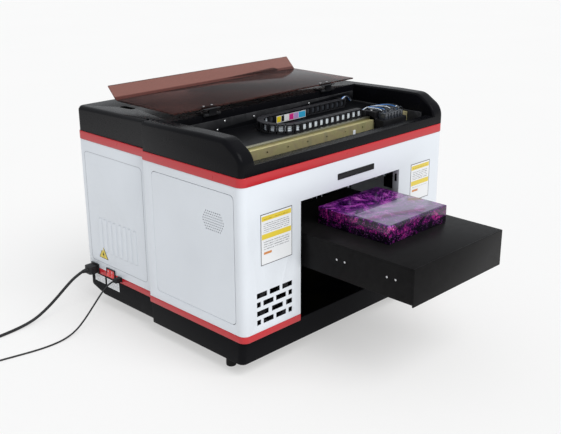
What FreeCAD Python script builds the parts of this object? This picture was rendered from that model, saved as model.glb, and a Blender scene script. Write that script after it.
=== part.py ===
"""Flatbed UV printer with its lid folded back and its bed run out.

Frame: +Z up, the front faces -Y, +X is to the right of someone facing the front.
The origin lies on the floor, midway between the bed's front plate and the rear wall.
"""
import FreeCAD, Part
import math
import os

import Sketcher

doc = FreeCAD.newDocument("flatbed_printer")
sheet = doc.addObject("Spreadsheet::Sheet", "sizes")
nodes = []


# ---------------------------------------------------------------- sizes that know their cell

class Size:
    """A number together with the spreadsheet expression that gives it."""

    def __init__(self, value, text):
        self.value = float(value)
        self.text = text

    def __add__(self, other):
        other = as_size(other)
        return Size(self.value + other.value, f"({self.text} + {other.text})")

    def __sub__(self, other):
        other = as_size(other)
        return Size(self.value - other.value, f"({self.text} - {other.text})")

    def __mul__(self, number):
        number = as_size(number)
        return Size(self.value * number.value, f"({self.text} * {number.text})")

    def __truediv__(self, number):
        number = as_size(number)
        return Size(self.value / number.value, f"({self.text} / {number.text})")

    def __neg__(self):
        return Size(-self.value, f"(0 - {self.text})")

    def __radd__(self, other):
        return as_size(other) + self

    def __rsub__(self, other):
        return as_size(other) - self

    def __rmul__(self, other):
        return as_size(other) * self


def as_size(number):
    """A Size for a Size or a plain number."""
    if isinstance(number, Size):
        return number
    if number < 0:
        return Size(number, f"(0 - {-number:.6f})")
    return Size(number, f"{number:.6f}")


def cell(alias, value):
    """Write one driving size to the sheet and return it."""
    cell.row += 1
    sheet.set(f"A{cell.row}", alias.replace("_", " "))
    sheet.set(f"B{cell.row}", str(value))
    sheet.setAlias(f"B{cell.row}", alias)
    return Size(value, f"sizes.{alias}")


cell.row = 0

# casing
body_width = cell("body_width", 650)
body_depth = cell("body_depth", 570)
front_depth = cell("front_depth", 306)
rear_recess = cell("rear_recess", 12)
corner_radius = cell("corner_radius", 16)
wall = cell("wall", 2.5)
foot_height = cell("foot_height", 28.5)
foot_radius = cell("foot_radius", 11)
base_height = cell("base_height", 51.5)
base_setback = cell("base_setback", 9)
base_wall = cell("base_wall", 3)
lower_trim_height = cell("lower_trim_height", 15)
housing_height = cell("housing_height", 312)
upper_trim_height = cell("upper_trim_height", 19)
trim_wall = cell("trim_wall", 5)
trim_proud = cell("trim_proud", 0.8)
opening_width = cell("opening_width", 323)
lintel_height = cell("lintel_height", 61.5)
reveal_depth = cell("reveal_depth", 18)
panel_gap = cell("panel_gap", 0.8)
panel_corner = cell("panel_corner", 10)

# top cover and lid
cover_rear_rise = cell("cover_rear_rise", 57)
cover_front_rise = cell("cover_front_rise", 69)
cover_side = cell("cover_side", 39)
cover_skin = cell("cover_skin", 3)
cover_round = cell("cover_round", 10)
rail_round = cell("rail_round", 5)
ledge_rise = cell("ledge_rise", 20)
ledge_depth = cell("ledge_depth", 26)
deck_front = cell("deck_front", 246)
lid_side_gap = cell("lid_side_gap", 3)
lid_front_gap = cell("lid_front_gap", 3.5)
lid_lip = cell("lid_lip", 41)
lid_sheet = cell("lid_sheet", 3)
lid_lift = cell("lid_lift", 15)
hinge_place = cell("hinge_place", 184)
hinge_width = cell("hinge_width", 44)
knuckle_radius = cell("knuckle_radius", 3.5)
pin_radius = cell("pin_radius", 1.5)
running_clearance = cell("running_clearance", 0.05)

# bed
bed_reach = cell("bed_reach", 280)
bed_side_gap = cell("bed_side_gap", 10.5)
bed_length = cell("bed_length", 420)
bed_sheet = cell("bed_sheet", 3)
bed_skirt = cell("bed_skirt", 74)
bed_apron = cell("bed_apron", 78)
bed_drop = cell("bed_drop", 72)
bearing_height = cell("bearing_height", 24)
frame_plate = cell("frame_plate", 10)
sample_width = cell("sample_width", 195)
sample_length = cell("sample_length", 190)
sample_height = cell("sample_height", 37.5)
seat_gap = cell("seat_gap", 0.3)

# gantry and carriage
frame_gap = cell("frame_gap", 6)
frame_sheet = cell("frame_sheet", 4)
beam_front = cell("beam_front", 72)
beam_depth = cell("beam_depth", 30)
beam_height = cell("beam_height", 22)
beam_rise = cell("beam_rise", 24)
saddle_rise = cell("saddle_rise", 18)
carriage_width = cell("carriage_width", 84)
carriage_place = cell("carriage_place", 195)
head_gap = cell("head_gap", 5)
chain_height = cell("chain_height", 21)
chain_depth = cell("chain_depth", 15)
chain_bend_radius = cell("chain_bend_radius", 50)
chain_wall = cell("chain_wall", 1.5)

# cords
mains_radius = cell("mains_radius", 3.5)
usb_radius = cell("usb_radius", 2)

half = body_width / 2
rear_half = half - rear_recess
front_y = (bed_reach - body_depth - trim_proud) / 2
step_y = front_y + front_depth
rear_y = front_y + body_depth
base_top = foot_height + base_height
housing_bottom = base_top + lower_trim_height
housing_top = housing_bottom + housing_height
cover_bottom = housing_top + upper_trim_height
opening_half = opening_width / 2
opening_top = housing_top - lintel_height
floor_top = foot_height + base_wall
bed_top = opening_top - bed_drop
beam_top = cover_bottom + beam_rise
deck_y = front_y + deck_front
bed_width = opening_width - 2 * bed_side_gap
frame_place = half - cover_side - frame_gap
lid_width = body_width - 2 * (cover_side + lid_side_gap)
crown = cover_bottom + cover_front_rise


# ---------------------------------------------------------------- building blocks

def bind(item, prop, amount):
    """Tie one property of a document object to the sheet."""
    item.setExpression(prop, as_size(amount).text)


def place(item, x, y, z):
    """Tie a placement's base to the sheet."""
    bind(item, "Placement.Base.x", x)
    bind(item, "Placement.Base.y", y)
    bind(item, "Placement.Base.z", z)


def new(kind, label):
    """A document object with its label set."""
    item = doc.addObject(kind, label)
    item.Label = label
    return item


def block(label, x, y, z):
    """A box between low and high values on each axis."""
    item = new("Part::Box", label)
    for prop, span in (("Length", x), ("Width", y), ("Height", z)):
        bind(item, prop, span[1] - as_size(span[0]))
    place(item, x[0], y[0], z[0])
    return item


TURN = {
    "x": FreeCAD.Rotation(FreeCAD.Vector(0, 1, 0), 90),
    "y": FreeCAD.Rotation(FreeCAD.Vector(1, 0, 0), -90),
    "z": FreeCAD.Rotation(),
}


def rod(label, axis, centre, span, radius):
    """A cylinder along an axis; centre gives the two other coordinates in X, Y, Z order."""
    item = new("Part::Cylinder", label)
    bind(item, "Radius", radius)
    bind(item, "Height", span[1] - as_size(span[0]))
    item.Placement = FreeCAD.Placement(FreeCAD.Vector(), TURN[axis])
    spot = list(centre)
    spot.insert("xyz".index(axis), span[0])
    place(item, *spot)
    return item


def pair(items):
    """One tool shape from several objects."""
    if len(items) == 1:
        return items[0]
    bundle = new("Part::Compound", items[0].Label + "_set")
    bundle.Links = items
    return bundle


def cut(label, base, *tools):
    """The base less every tool."""
    item = new("Part::Cut", label)
    item.Base = base
    item.Tool = pair(list(tools))
    return item


def fuse(label, *items):
    """One solid from pieces that touch or overlap."""
    item = new("Part::MultiFuse", label)
    item.Shapes = list(items)
    item.Refine = True
    return item


def common(label, one, other):
    """What two solids share."""
    item = new("Part::Common", label)
    item.Base = one
    item.Tool = other
    return item


def group(label, *items):
    """Separate solids kept together in one node."""
    item = new("Part::Compound", label)
    item.Links = list(items)
    return item


def soften(label, base, radius, wanted):
    """Round the edges of the base that the wanted function picks."""
    radius = as_size(radius)
    doc.recompute()
    picked = [number + 1 for number, edge in enumerate(base.Shape.Edges) if wanted(edge)]
    item = new("Part::Fillet", label)
    item.Base = base
    item.Edges = [(number, radius.value, radius.value) for number in picked]
    return item


def upright(edge):
    """True for a straight vertical edge."""
    low, high = edge.Vertexes[0].Point, edge.Vertexes[-1].Point
    return abs(low.x - high.x) < 1e-6 and abs(low.y - high.y) < 1e-6


def rounded_block(label, x, y, z, radius, side="all"):
    """A box with its vertical edges rounded, all of them or those at the front or rear."""
    raw = block(label + "_raw", x, y, z)
    middle = (as_size(y[0]).value + as_size(y[1]).value) / 2

    def wanted(edge):
        depth = edge.CenterOfMass.y - middle
        return upright(edge) and (side == "all" or (depth < 0) == (side == "front"))

    return soften(label, raw, radius, wanted)


def prism(label, plane, points, span):
    """A padded sketch: points on the plane, from the low to the high end of its normal."""
    body = new("PartDesign::Body", label)
    sketch = body.newObject("Sketcher::SketchObject", label + "_sketch")
    origin_plane = [item for item in body.Origin.OriginFeatures if item.Role == plane + "_Plane"][0]
    sketch.AttachmentSupport = [(origin_plane, "")]
    sketch.MapMode = "FlatFace"
    points = [(as_size(one), as_size(other)) for one, other in points]
    spots = [FreeCAD.Vector(one.value, other.value, 0) for one, other in points]
    for index, spot in enumerate(spots):
        sketch.addGeometry(Part.LineSegment(spot, spots[(index + 1) % len(spots)]), False)
    for index in range(len(points)):
        sketch.addConstraint(Sketcher.Constraint("Coincident", index, 2, (index + 1) % len(points), 1))
    for index, point in enumerate(points):
        for kind, amount in zip(("DistanceX", "DistanceY"), point):
            number = sketch.addConstraint(Sketcher.Constraint(kind, -1, 1, index, 1, amount.value))
            sketch.setExpression(f"Constraints[{number}]", amount.text)
    pad = body.newObject("PartDesign::Pad", label + "_pad")
    pad.Profile = sketch
    bind(pad, "Length", span[1] - as_size(span[0]))
    pad.Reversed = plane == "XZ"
    offset = {"YZ": (span[0], 0, 0), "XZ": (0, span[0], 0), "XY": (0, 0, span[0])}[plane]
    place(body, *offset)
    return body


def node(item):
    """Note a finished sub-part; its label names its file."""
    nodes.append(item)
    return item


def stepped(label, inset, z, rear_inset=None, front_inset=None):
    """The casing's plan, wide in front and narrower behind, drawn in by an inset all round."""
    inset = as_size(inset)
    front_inset = inset if front_inset is None else as_size(front_inset)
    rear_inset = inset if rear_inset is None else as_size(rear_inset)
    radius = max(corner_radius.value - inset.value, 1.5)
    front = rounded_block(label + "_front", (inset - half, half - inset),
                          (front_y + front_inset, step_y - inset), z, radius, "front")
    rear = rounded_block(label + "_rear", (inset - rear_half, rear_half - inset),
                         (step_y - inset - 8, rear_y - rear_inset), z, radius, "rear")
    return fuse(label, front, rear)


# ---------------------------------------------------------------- casing

side_span = (front_y + 23, step_y - 28)
side_rise = (housing_bottom + 21, housing_top - 18)
inlet_y = rear_y - 34
inlet_z = base_top + 12
switch_y = rear_y - 98
switch_z = base_top + 14
usb_y = rear_y - 134
usb_z = base_top + 11
bezel = {"inlet": (15, 12.5), "switch": (17, 12), "usb": (7, 5.5)}
bezel_reach = 3


def power_windows(label, grow=-1.2):
    """Cutters for the bodies, or with a positive growth the bezels, of the three power and data fittings."""
    tools = []
    for name, y, z in (("inlet", inlet_y, inlet_z), ("switch", switch_y, switch_z), ("usb", usb_y, usb_z)):
        wide, tall = bezel[name]
        tools.append(block(f"{label}_{name}_window", (-rear_half - 5, -rear_half + 12),
                           (y - (wide + grow), y + (wide + grow)), (z - (tall + grow), z + (tall + grow))))
    return tools


def base_tray():
    chamfer_run, chamfer_rise = 60, 17
    plan = stepped("base_plan", 2, (foot_height, base_top), front_inset=base_setback)
    profile = prism("base_profile", "YZ",
                    [(front_y, foot_height), (rear_y - chamfer_run, foot_height),
                     (rear_y, foot_height + chamfer_rise), (rear_y, base_top), (front_y, base_top)],
                    (-half, half))
    outer = common("base_outer", plan, profile)
    inset = base_wall + 2
    front_hollow = rounded_block("base_front_hollow", (inset - half, half - inset),
                                 (front_y + base_setback + base_wall, step_y - inset),
                                 (floor_top, base_top + 1), 11, "front")
    low_hollow = block("base_low_hollow", (inset - rear_half, rear_half - inset),
                       (step_y - 30, rear_y - chamfer_run - base_wall), (floor_top, base_top + 1))
    high_hollow = rounded_block("base_high_hollow", (inset - rear_half, rear_half - inset),
                                (step_y - 30, rear_y - inset),
                                (floor_top + chamfer_rise, base_top + 1), 11, "rear")
    windows = power_windows("base")
    node(cut("base_tray", outer, front_hollow, low_hollow, high_hollow, *windows))


def feet():
    items = []
    for side in (-1, 1):
        for y, inset in ((front_y + 72, 28), (rear_y - 72, 75)):
            items.append(rod(f"foot_{len(items) + 1}", "z", (side * (half - inset), y),
                             (0, foot_height), foot_radius))
    node(group("feet", *items))


def vent_slots():
    """Brick-bond slots low on the left leg of the front wall."""
    rows = [(29, 29, 29), (11, 29, 29, 11), (33, 32, 18), (11, 29, 29, 11)]
    grid_width, row_pitch, slot_height, left = 101, 19.5, 11.5, 37
    slots = []
    for number, lengths in enumerate(rows):
        gap = (grid_width - sum(lengths)) / (len(lengths) - 1)
        start = left
        low = housing_bottom + 15.5 + (len(rows) - 1 - number) * row_pitch
        for length in lengths:
            slots.append(block(f"vent_{number}_{len(slots)}", (start - half, start + length - half),
                               (front_y - 1, front_y + wall + 1), (low, low + slot_height)))
            start += length + gap
    return slots


def front_housing():
    z = (housing_bottom, housing_top)
    outer = rounded_block("front_outer", (-half, half), (front_y, step_y), z, corner_radius, "front")
    inner = rounded_block("front_inner", (wall - half, half - wall), (front_y + wall, step_y - wall),
                          (housing_bottom - 1, housing_top + 1), corner_radius - wall, "front")
    back = block("front_back", (wall + 1 - rear_half, rear_half - wall - 1), (step_y - 20, step_y + 1),
                 (housing_bottom - 1, housing_top + 1))
    mouth = block("front_mouth", (-opening_half, opening_half), (front_y - 1, front_y + 40),
                  (housing_bottom - 1, opening_top))
    apertures = [rounded_side("front_aperture_left", (-half - 1, -half + wall + 1), 0),
                 rounded_side("front_aperture_right", (half - wall - 1, half + 1), 0)]
    shell = cut("front_shell", outer, inner, back, mouth, *apertures, *vent_slots())
    reveal = (front_y + wall / 2, front_y + reveal_depth)
    left = block("reveal_left", (-opening_half - wall, -opening_half), reveal, (housing_bottom, opening_top))
    right = block("reveal_right", (opening_half, opening_half + wall), reveal, (housing_bottom, opening_top))
    over = block("reveal_top", (-opening_half - wall, opening_half + wall), reveal,
                 (opening_top, opening_top + wall))
    node(fuse("front_housing", shell, left, right, over))


def rounded_side(label, x, inset):
    """A side panel's outline with rounded corners, drawn in by an inset."""
    raw = block(label + "_raw", x, (side_span[0] + inset, side_span[1] - inset),
                (side_rise[0] + inset, side_rise[1] - inset))

    def across(edge):
        low, high = edge.Vertexes[0].Point, edge.Vertexes[-1].Point
        return abs(low.y - high.y) < 1e-6 and abs(low.z - high.z) < 1e-6

    return soften(label, raw, panel_corner, across)


def perforations(label, x):
    """Round holes in a six-sided patch, thinned towards its pointed ends."""
    pitch, radius, rows = 6, 1.5, 8
    tools = []
    for row in range(rows):
        count = 11 - abs(2 * row - (rows - 1)) // 2
        low = side_rise[1] - 66 - (row - (rows - 1) / 2) * pitch * 0.9
        for number in range(count):
            across = (number - (count - 1) / 2) * pitch
            tools.append(rod(f"{label}_{row}_{number}", "x", (front_y + 84 + across, low), x, radius))
    return tools


def side_panels():
    for name, sign in (("left_panel", -1), ("right_panel", 1)):
        outer, inner = half, half - wall
        x = (-outer, -inner) if sign < 0 else (inner, outer)
        blank = rounded_side(name + "_blank", x, panel_gap)
        holes = perforations(name + "_hole", (x[0] - 1, x[1] + 1))
        node(cut(name, blank, *holes))


def louvres(label, x):
    """Eight upright slots on the rear part of a side wall."""
    pitch, slot_width, slot_height, count = 19, 5, 76, 8
    tools = []
    for number in range(count):
        y = rear_y - 202 + number * pitch
        tools.append(block(f"{label}_{number}", x, (y, y + slot_width),
                           (housing_bottom + 53, housing_bottom + 53 + slot_height)))
    return tools


def rear_housing():
    z = (housing_bottom, housing_top)
    outer = rounded_block("rear_outer", (-rear_half, rear_half), (step_y, rear_y), z, corner_radius, "rear")
    inner = rounded_block("rear_inner", (wall - rear_half, rear_half - wall), (step_y - 10, rear_y - wall),
                          (housing_bottom - 1, housing_top + 1), corner_radius - wall, "rear")
    left = louvres("louvre_left", (-rear_half - 1, -rear_half + wall + 1))
    right = louvres("louvre_right", (rear_half - wall - 1, rear_half + 1))
    node(cut("rear_housing", outer, inner, *left, *right, *power_windows("housing")))


def trim(label, z, *tools):
    outer = stepped(label + "_outer", -trim_proud, z)
    inner = stepped(label + "_inner", trim_wall - trim_proud, (z[0] - 1, z[1] + 1))
    node(cut(label, outer, inner, *tools))


def lower_trim():
    gate = block("trim_gate", (-opening_half, opening_half), (front_y - 5, front_y + 40),
                 (base_top - 1, housing_bottom + 1))
    trim("lower_trim", (base_top, housing_bottom), gate, *power_windows("trim", 0.2))


def upper_trim():
    trim("upper_trim", (housing_top, cover_bottom))


def cover_front(brow):
    """The cover's front part: one rounding runs up each front corner and back along the top."""
    side, seam = half - 1, step_y - 1
    raw = common("cover_front_raw", brow,
                 block("cover_front_block", (-side, side), (front_y, seam), (cover_bottom, crown + 5)))

    def outline(edge):
        spot = edge.CenterOfMass
        return (abs(abs(spot.x) - side.value) < 0.1 and spot.z > cover_bottom.value + 1
                and spot.y < seam.value - 1)

    return soften("cover_front_soft", raw, cover_round, outline)


def cover_rear(brow):
    """The cover's narrower rear part, with its top outline rounded over."""
    side, rim, seam = rear_half - 1, rear_y - 1, step_y - 9
    plan = rounded_block("cover_rear_plan", (-side, side), (seam, rim), (cover_bottom - 1, crown + 5),
                         corner_radius.value - 1, "rear")

    def outline(edge):
        spot = edge.CenterOfMass
        along_side = abs(spot.x) > side.value - 8 and abs(spot.y - seam.value) > 1
        return (not upright(edge) and spot.z > cover_bottom.value + 10
                and (along_side or abs(spot.y - rim.value) < 0.5))

    return soften("cover_rear_soft", common("cover_rear_raw", plan, brow), cover_round, outline)


brow_depth = 120


def top_cover():
    """Deck behind, a low ledge in front and a thick rounded wall at each side."""
    profile = prism("cover_profile", "YZ",
                    [(front_y + 1, cover_bottom), (rear_y - 1, cover_bottom),
                     (rear_y - 1, cover_bottom + cover_rear_rise), (front_y + brow_depth, crown),
                     (front_y + 49, crown), (front_y + 1, crown - 30), (front_y + 1, cover_bottom + 5)],
                    (-half, half))

    def shoulder(edge):
        spot = edge.CenterOfMass
        return abs(spot.x) < 1 and spot.z > crown.value - 31 and spot.y < front_y.value + 50

    brow = soften("cover_brow", profile, 38, shoulder)
    outer = fuse("cover_outer", cover_front(brow), cover_rear(brow))
    inner_half = half - cover_side
    well = block("cover_well", (-inner_half, inner_half), (front_y + ledge_depth, deck_y),
                 (cover_bottom - 2, crown + 10))
    gap = block("cover_gap", (-inner_half, inner_half), (front_y - 10, deck_y),
                (cover_bottom + ledge_rise, crown + 10))
    sides = [block(f"cover_side_{number}", span, (front_y + 30, deck_y - 20),
                   (cover_bottom - 2, cover_bottom + cover_rear_rise - 4))
             for number, span in enumerate(((cover_skin - half + 1, -inner_half - cover_skin),
                                            (inner_half + cover_skin, half - cover_skin - 1)))]
    rear = block("cover_rear_hollow", (cover_skin - rear_half + 1, rear_half - cover_skin - 1),
                 (deck_y + cover_skin, rear_y - cover_skin - 1),
                 (cover_bottom - 2, cover_bottom + cover_rear_rise - cover_skin))
    slot = rounded_block("cover_slot", (-half + 62, -half + 78), (rear_y - 146, rear_y - 100),
                         (cover_bottom, crown + 10), 7.9)

    def rail_line(edge):
        spot = edge.CenterOfMass
        inside = abs(abs(spot.x) - inner_half.value) < 0.5 and spot.y < deck_y.value + 1
        return inside and spot.z > (cover_bottom + ledge_rise).value + 4 and not upright(edge)

    raw = cut("cover_cut", outer, well, gap, *sides, rear, slot)
    node(soften("top_cover", raw, rail_round, rail_line))


# ---------------------------------------------------------------- lid and hinges

hinge_y = deck_y - 5
deck_fall = (cover_front_rise - cover_rear_rise) / (body_depth - 1 - brow_depth)
hinge_z = crown - deck_fall * (deck_front - brow_depth + 5)
panel_z = hinge_z + lid_lift
leaf_lift = 0.3
leaf_sheet = 2.3


def lid():
    """A flat sheet with a lip bent up at its far edge, as it lies folded back."""
    slant = lid_lip * math.sqrt(0.5)
    near = hinge_y + knuckle_radius
    bend = 2 * hinge_y - front_y - lid_front_gap - slant
    skin = lid_sheet
    flare = lid_sheet * math.sqrt(0.5)
    profile = prism("lid_profile", "YZ",
                    [(near, panel_z - skin / 2), (bend, panel_z - skin / 2),
                     (bend + slant, panel_z - skin / 2 + slant),
                     (bend + slant - flare, panel_z - skin / 2 + slant + flare),
                     (bend - flare * 0.586, panel_z + skin / 2), (near, panel_z + skin / 2)],
                    (-lid_width / 2, lid_width / 2))

    def fold(edge):
        spot = edge.CenterOfMass
        low = abs(spot.z - (panel_z - skin / 2).value) < 0.1 and abs(spot.y - bend.value) < 0.1
        return low and abs(spot.x) < 1

    node(soften("lid", profile, 24, fold))


def hinges():
    """Deck leaves with their pins, and lid leaves that turn on the pins."""
    deck, leaves = [], []
    knuckle = hinge_width / 4
    for number, sign in enumerate((-1, 1)):
        x = sign * hinge_place
        low, high = x - hinge_width / 2, x + hinge_width / 2
        bore = rod(f"deck_bore_{number}", "x", (hinge_y, hinge_z), (low - 1, high + 1), pin_radius)
        pads = []
        for end, span in enumerate(((low, low + knuckle), (high - knuckle, high))):
            barrel = rod(f"deck_knuckle_{number}_{end}", "x", (hinge_y, hinge_z), span, knuckle_radius)
            ear = block(f"deck_ear_{number}_{end}", span, (hinge_y, deck_y + 3),
                        (hinge_z + leaf_lift, hinge_z + leaf_lift + leaf_sheet))
            pads += [barrel, ear]
        plate = block(f"deck_plate_{number}", (low, high), (deck_y + 1, deck_y + 22),
                      (hinge_z + leaf_lift, hinge_z + leaf_lift + leaf_sheet))
        leaf = cut(f"deck_leaf_{number}", fuse(f"deck_leaf_raw_{number}", plate, *pads), bore)
        pin = rod(f"hinge_pin_{number}", "x", (hinge_y, hinge_z), (low, high), pin_radius)
        deck += [leaf, pin]
        inner = (low + knuckle + 0.3, high - knuckle - 0.3)
        barrel = rod(f"lid_knuckle_{number}", "x", (hinge_y, hinge_z), inner, knuckle_radius)
        arm = block(f"lid_arm_{number}", inner, (hinge_y - knuckle_radius, hinge_y - 1),
                    (hinge_z, panel_z - lid_sheet / 2))
        foot = block(f"lid_plate_{number}", (low, high), (hinge_y - knuckle_radius, hinge_y + 22),
                     (panel_z - lid_sheet / 2 - 2, panel_z - lid_sheet / 2))
        hole = rod(f"lid_bore_{number}", "x", (hinge_y, hinge_z), (low - 1, high + 1),
                   pin_radius + running_clearance)
        leaves.append(cut(f"lid_leaf_{number}", fuse(f"lid_leaf_raw_{number}", barrel, arm, foot), hole))
    node(group("hinge_deck_leaves", *deck))
    node(group("hinge_lid_leaves", *leaves))


# ---------------------------------------------------------------- labels, power and data

def labels():
    """Plain stickers and a blank badge, each a thin plate on its wall."""
    film = 0.4
    face = (front_y - film, front_y)
    badge = block("badge", (-50, 69), (front_y - 1.2, front_y), (housing_top - 41, housing_top - 28))
    left = block("front_label_left", (-276, -188), face, (housing_bottom + 142, housing_bottom + 249))
    right = block("front_label_right", (205, 278), face, (housing_bottom + 162, housing_bottom + 252))
    side = (-rear_half - film, -rear_half)
    base_side = (2 - rear_half - film, 2 - rear_half)
    hazard = prism("hazard_label", "YZ",
                   [(rear_y - 90, housing_bottom + 31), (rear_y - 54, housing_bottom + 31),
                    (rear_y - 72, housing_bottom + 62)], side)
    rating = block("rating_label", base_side, (rear_y - 67, rear_y - 26), (base_top - 22, base_top - 4))
    port = block("port_label", base_side, (rear_y - 124, rear_y - 75), (base_top - 26, base_top - 4))
    ink = block("ink_label", (-34, 60), (shelf_label_y - film, shelf_label_y),
                (shelf_top + 2, shelf_top + 18))
    node(group("labels", badge, left, right, hazard, rating, port, ink))


def socket_body(label, name, y, z, depth):
    """A bezel on the wall with a body behind it."""
    wide, tall = bezel[name]
    plate = rounded_side_plate(label + "_bezel", y, z, wide, tall)
    back = block(label + "_back", (-rear_half, -rear_half + depth), (y - (wide - 1.5), y + (wide - 1.5)),
                 (z - (tall - 1.5), z + (tall - 1.5)))
    return fuse(label + "_solid", plate, back)


def rounded_side_plate(label, y, z, wide, tall):
    """A bezel: a thin plate standing proud of the trim."""
    return block(label, (-rear_half - bezel_reach, -rear_half), (y - wide, y + wide), (z - tall, z + tall))


def mains_inlet():
    solid = socket_body("mains_inlet_raw", "inlet", inlet_y, inlet_z, 24)
    well = block("mains_well", (-rear_half - bezel_reach - 1, -rear_half + 14),
                 (inlet_y - 12, inlet_y + 12), (inlet_z - 8, inlet_z + 8))
    blades = [block(f"mains_blade_{number}", (-rear_half + 2, -rear_half + 15),
                    (inlet_y + shift - 1, inlet_y + shift + 1), (inlet_z + rise - 2, inlet_z + rise + 2))
              for number, (shift, rise) in enumerate(((-7, -2), (0, 2), (7, -2)))]
    node(fuse("mains_inlet", cut("mains_inlet_shell", solid, well), *blades))


rocker_half_width = 7
rocker_shift = 7.4
rocker_reach = 9.2
rocker_pivot = 4
rocker_tilt = 8
rocker_pin = 1.2


def switches():
    solid = socket_body("switch_raw", "switch", switch_y, switch_z, 16)
    window = block("switch_window", (-rear_half - bezel_reach - 1, -rear_half + 12),
                   (switch_y - 14.8, switch_y + 14.8), (switch_z - 10.2, switch_z + 10.2))
    post = block("switch_post", (-rear_half - bezel_reach + 1, -rear_half + 13),
                 (switch_y - 0.15, switch_y + 0.15), (switch_z - 10.3, switch_z + 10.3))
    pivot_x = -rear_half - bezel_reach + rocker_pivot + 0.8
    pin = rod("switch_pin", "y", (pivot_x, switch_z), (switch_y - 15.5, switch_y + 15.5), rocker_pin)
    node(fuse("switch_frame", cut("switch_shell", solid, window), post, pin))
    turn = FreeCAD.Rotation(FreeCAD.Vector(0, 1, 0), rocker_tilt)
    for name, sign in (("rocker_front", -1), ("rocker_rear", 1)):
        reach = rocker_reach
        key = prism(f"{name}_raw", "XZ",
                    [(-5.6, reach), (-4.4, 0), (-5.6, -reach), (-1, -reach + 0.6), (6, -4), (6, 4),
                     (-1, reach - 0.6)], (0, 2 * rocker_half_width))
        key.Placement = FreeCAD.Placement(FreeCAD.Vector(), turn)
        place(key, pivot_x, switch_y + sign * rocker_shift - rocker_half_width, switch_z)
        bore = rod(f"{name}_bore", "y", (pivot_x, switch_z), (switch_y - 16, switch_y + 16),
                   rocker_pin + running_clearance)
        node(cut(name, key, bore))


def usb_socket():
    solid = socket_body("usb_raw", "usb", usb_y, usb_z, 12)
    well = block("usb_well", (-rear_half - bezel_reach - 1, -rear_half + 9),
                 (usb_y - 4.2, usb_y + 4.2), (usb_z - 3.9, usb_z + 3.9))
    node(cut("usb_socket", solid, well))


# ---------------------------------------------------------------- frame, gantry and carriage

shelf_top = beam_top + 0.8
shelf_label_y = front_y + 197
rail_height = 6
rail_depth = 9
carriage_clear = 0.5
pulley_radius = 7
belt_sheet = 1.5
belt_z = beam_top - beam_height - 12
belt_y = (front_y + 84, front_y + 90)
pulley_place = frame_place - 18
rail_y = (front_y + beam_front + 10, front_y + beam_front + 10 + rail_depth)
carriage_x = (carriage_place - carriage_width / 2, carriage_place + carriage_width / 2)
head_bottom = bed_top + sample_height + head_gap


def side_frames():
    frames = []
    for number, span in enumerate(((-frame_place - frame_sheet, -frame_place),
                                   (frame_place, frame_place + frame_sheet))):
        plate = block(f"frame_plate_{number}", span, (front_y + 34, step_y + 14),
                      (floor_top, beam_top + 3))
        notch = block(f"frame_notch_{number}", (span[0] - 1, span[1] + 1), (deck_y - 1, step_y + 15),
                      (cover_bottom - 1, beam_top + 4))
        window = block(f"frame_window_{number}", (span[0] - 1, span[1] + 1), (front_y + 90, front_y + 260),
                       (floor_top + 60, beam_top - 120))
        frames.append(cut(f"frame_{number}", plate, window, notch))
    node(group("side_frames", *frames))


def gantry():
    z = (beam_top - beam_height, beam_top)
    y = (front_y + beam_front, front_y + beam_front + beam_depth)
    beam = block("beam_raw", (-frame_place, frame_place), y, z)
    hollow = block("beam_hollow", (-frame_place - 1, frame_place + 1), (y[0] + 2, y[1] + 1),
                   (z[0] + 2, z[1] - 2))
    tab = block("beam_tab", (pulley_place - 8, pulley_place + 8), (belt_y[1] + 3, belt_y[1] + 6),
                (belt_z - 8, z[0] + 1))
    axle = rod("beam_axle", "y", (pulley_place, belt_z), (belt_y[0] - 1, belt_y[1] + 3.5), 2.5)
    node(fuse("gantry_beam", cut("beam_channel", beam, hollow), tab, axle))
    node(block("x_guide_rail", (-frame_place + 4, frame_place - 4), rail_y,
               (beam_top, beam_top + rail_height)))


def belt_drive():
    clear = as_size(running_clearance)
    ring = pulley_radius + 0.3
    runs = []
    for name, reach in (("outer", ring + belt_sheet), ("inner", ring)):
        middle = block(f"belt_{name}_run", (-pulley_place, pulley_place), belt_y,
                       (belt_z - reach, belt_z + reach))
        ends = [rod(f"belt_{name}_end_{number}", "y", (sign * pulley_place, belt_z), belt_y, reach)
                for number, sign in enumerate((-1, 1))]
        runs.append(fuse(f"belt_{name}", middle, *ends))
    node(cut("x_belt", *runs))
    drive = rod("x_drive_raw", "y", (-pulley_place, belt_z), (belt_y[0] - 2, belt_y[1] + 2), pulley_radius)
    bore = rod("x_drive_bore", "y", (-pulley_place, belt_z), (belt_y[0] - 3, belt_y[1] + 3), 2.5 + clear)
    node(cut("x_drive_pulley", drive, bore))
    idler = rod("x_idler_raw", "y", (pulley_place, belt_z), (belt_y[0] - 0.5, belt_y[1] + 2), pulley_radius)
    hole = rod("x_idler_bore", "y", (pulley_place, belt_z), (belt_y[0] - 1, belt_y[1] + 3), 2.5 + clear)
    node(cut("x_idler_pulley", idler, hole))
    case = block("x_motor_case", (-frame_place, -frame_place + 42), (belt_y[1] + 4, belt_y[1] + 44),
                 (belt_z - 21, belt_z + 9))
    shaft = rod("x_motor_shaft", "y", (-pulley_place, belt_z), (belt_y[0] - 2, belt_y[1] + 5), 2.5)
    node(fuse("x_motor", case, shaft))


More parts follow.
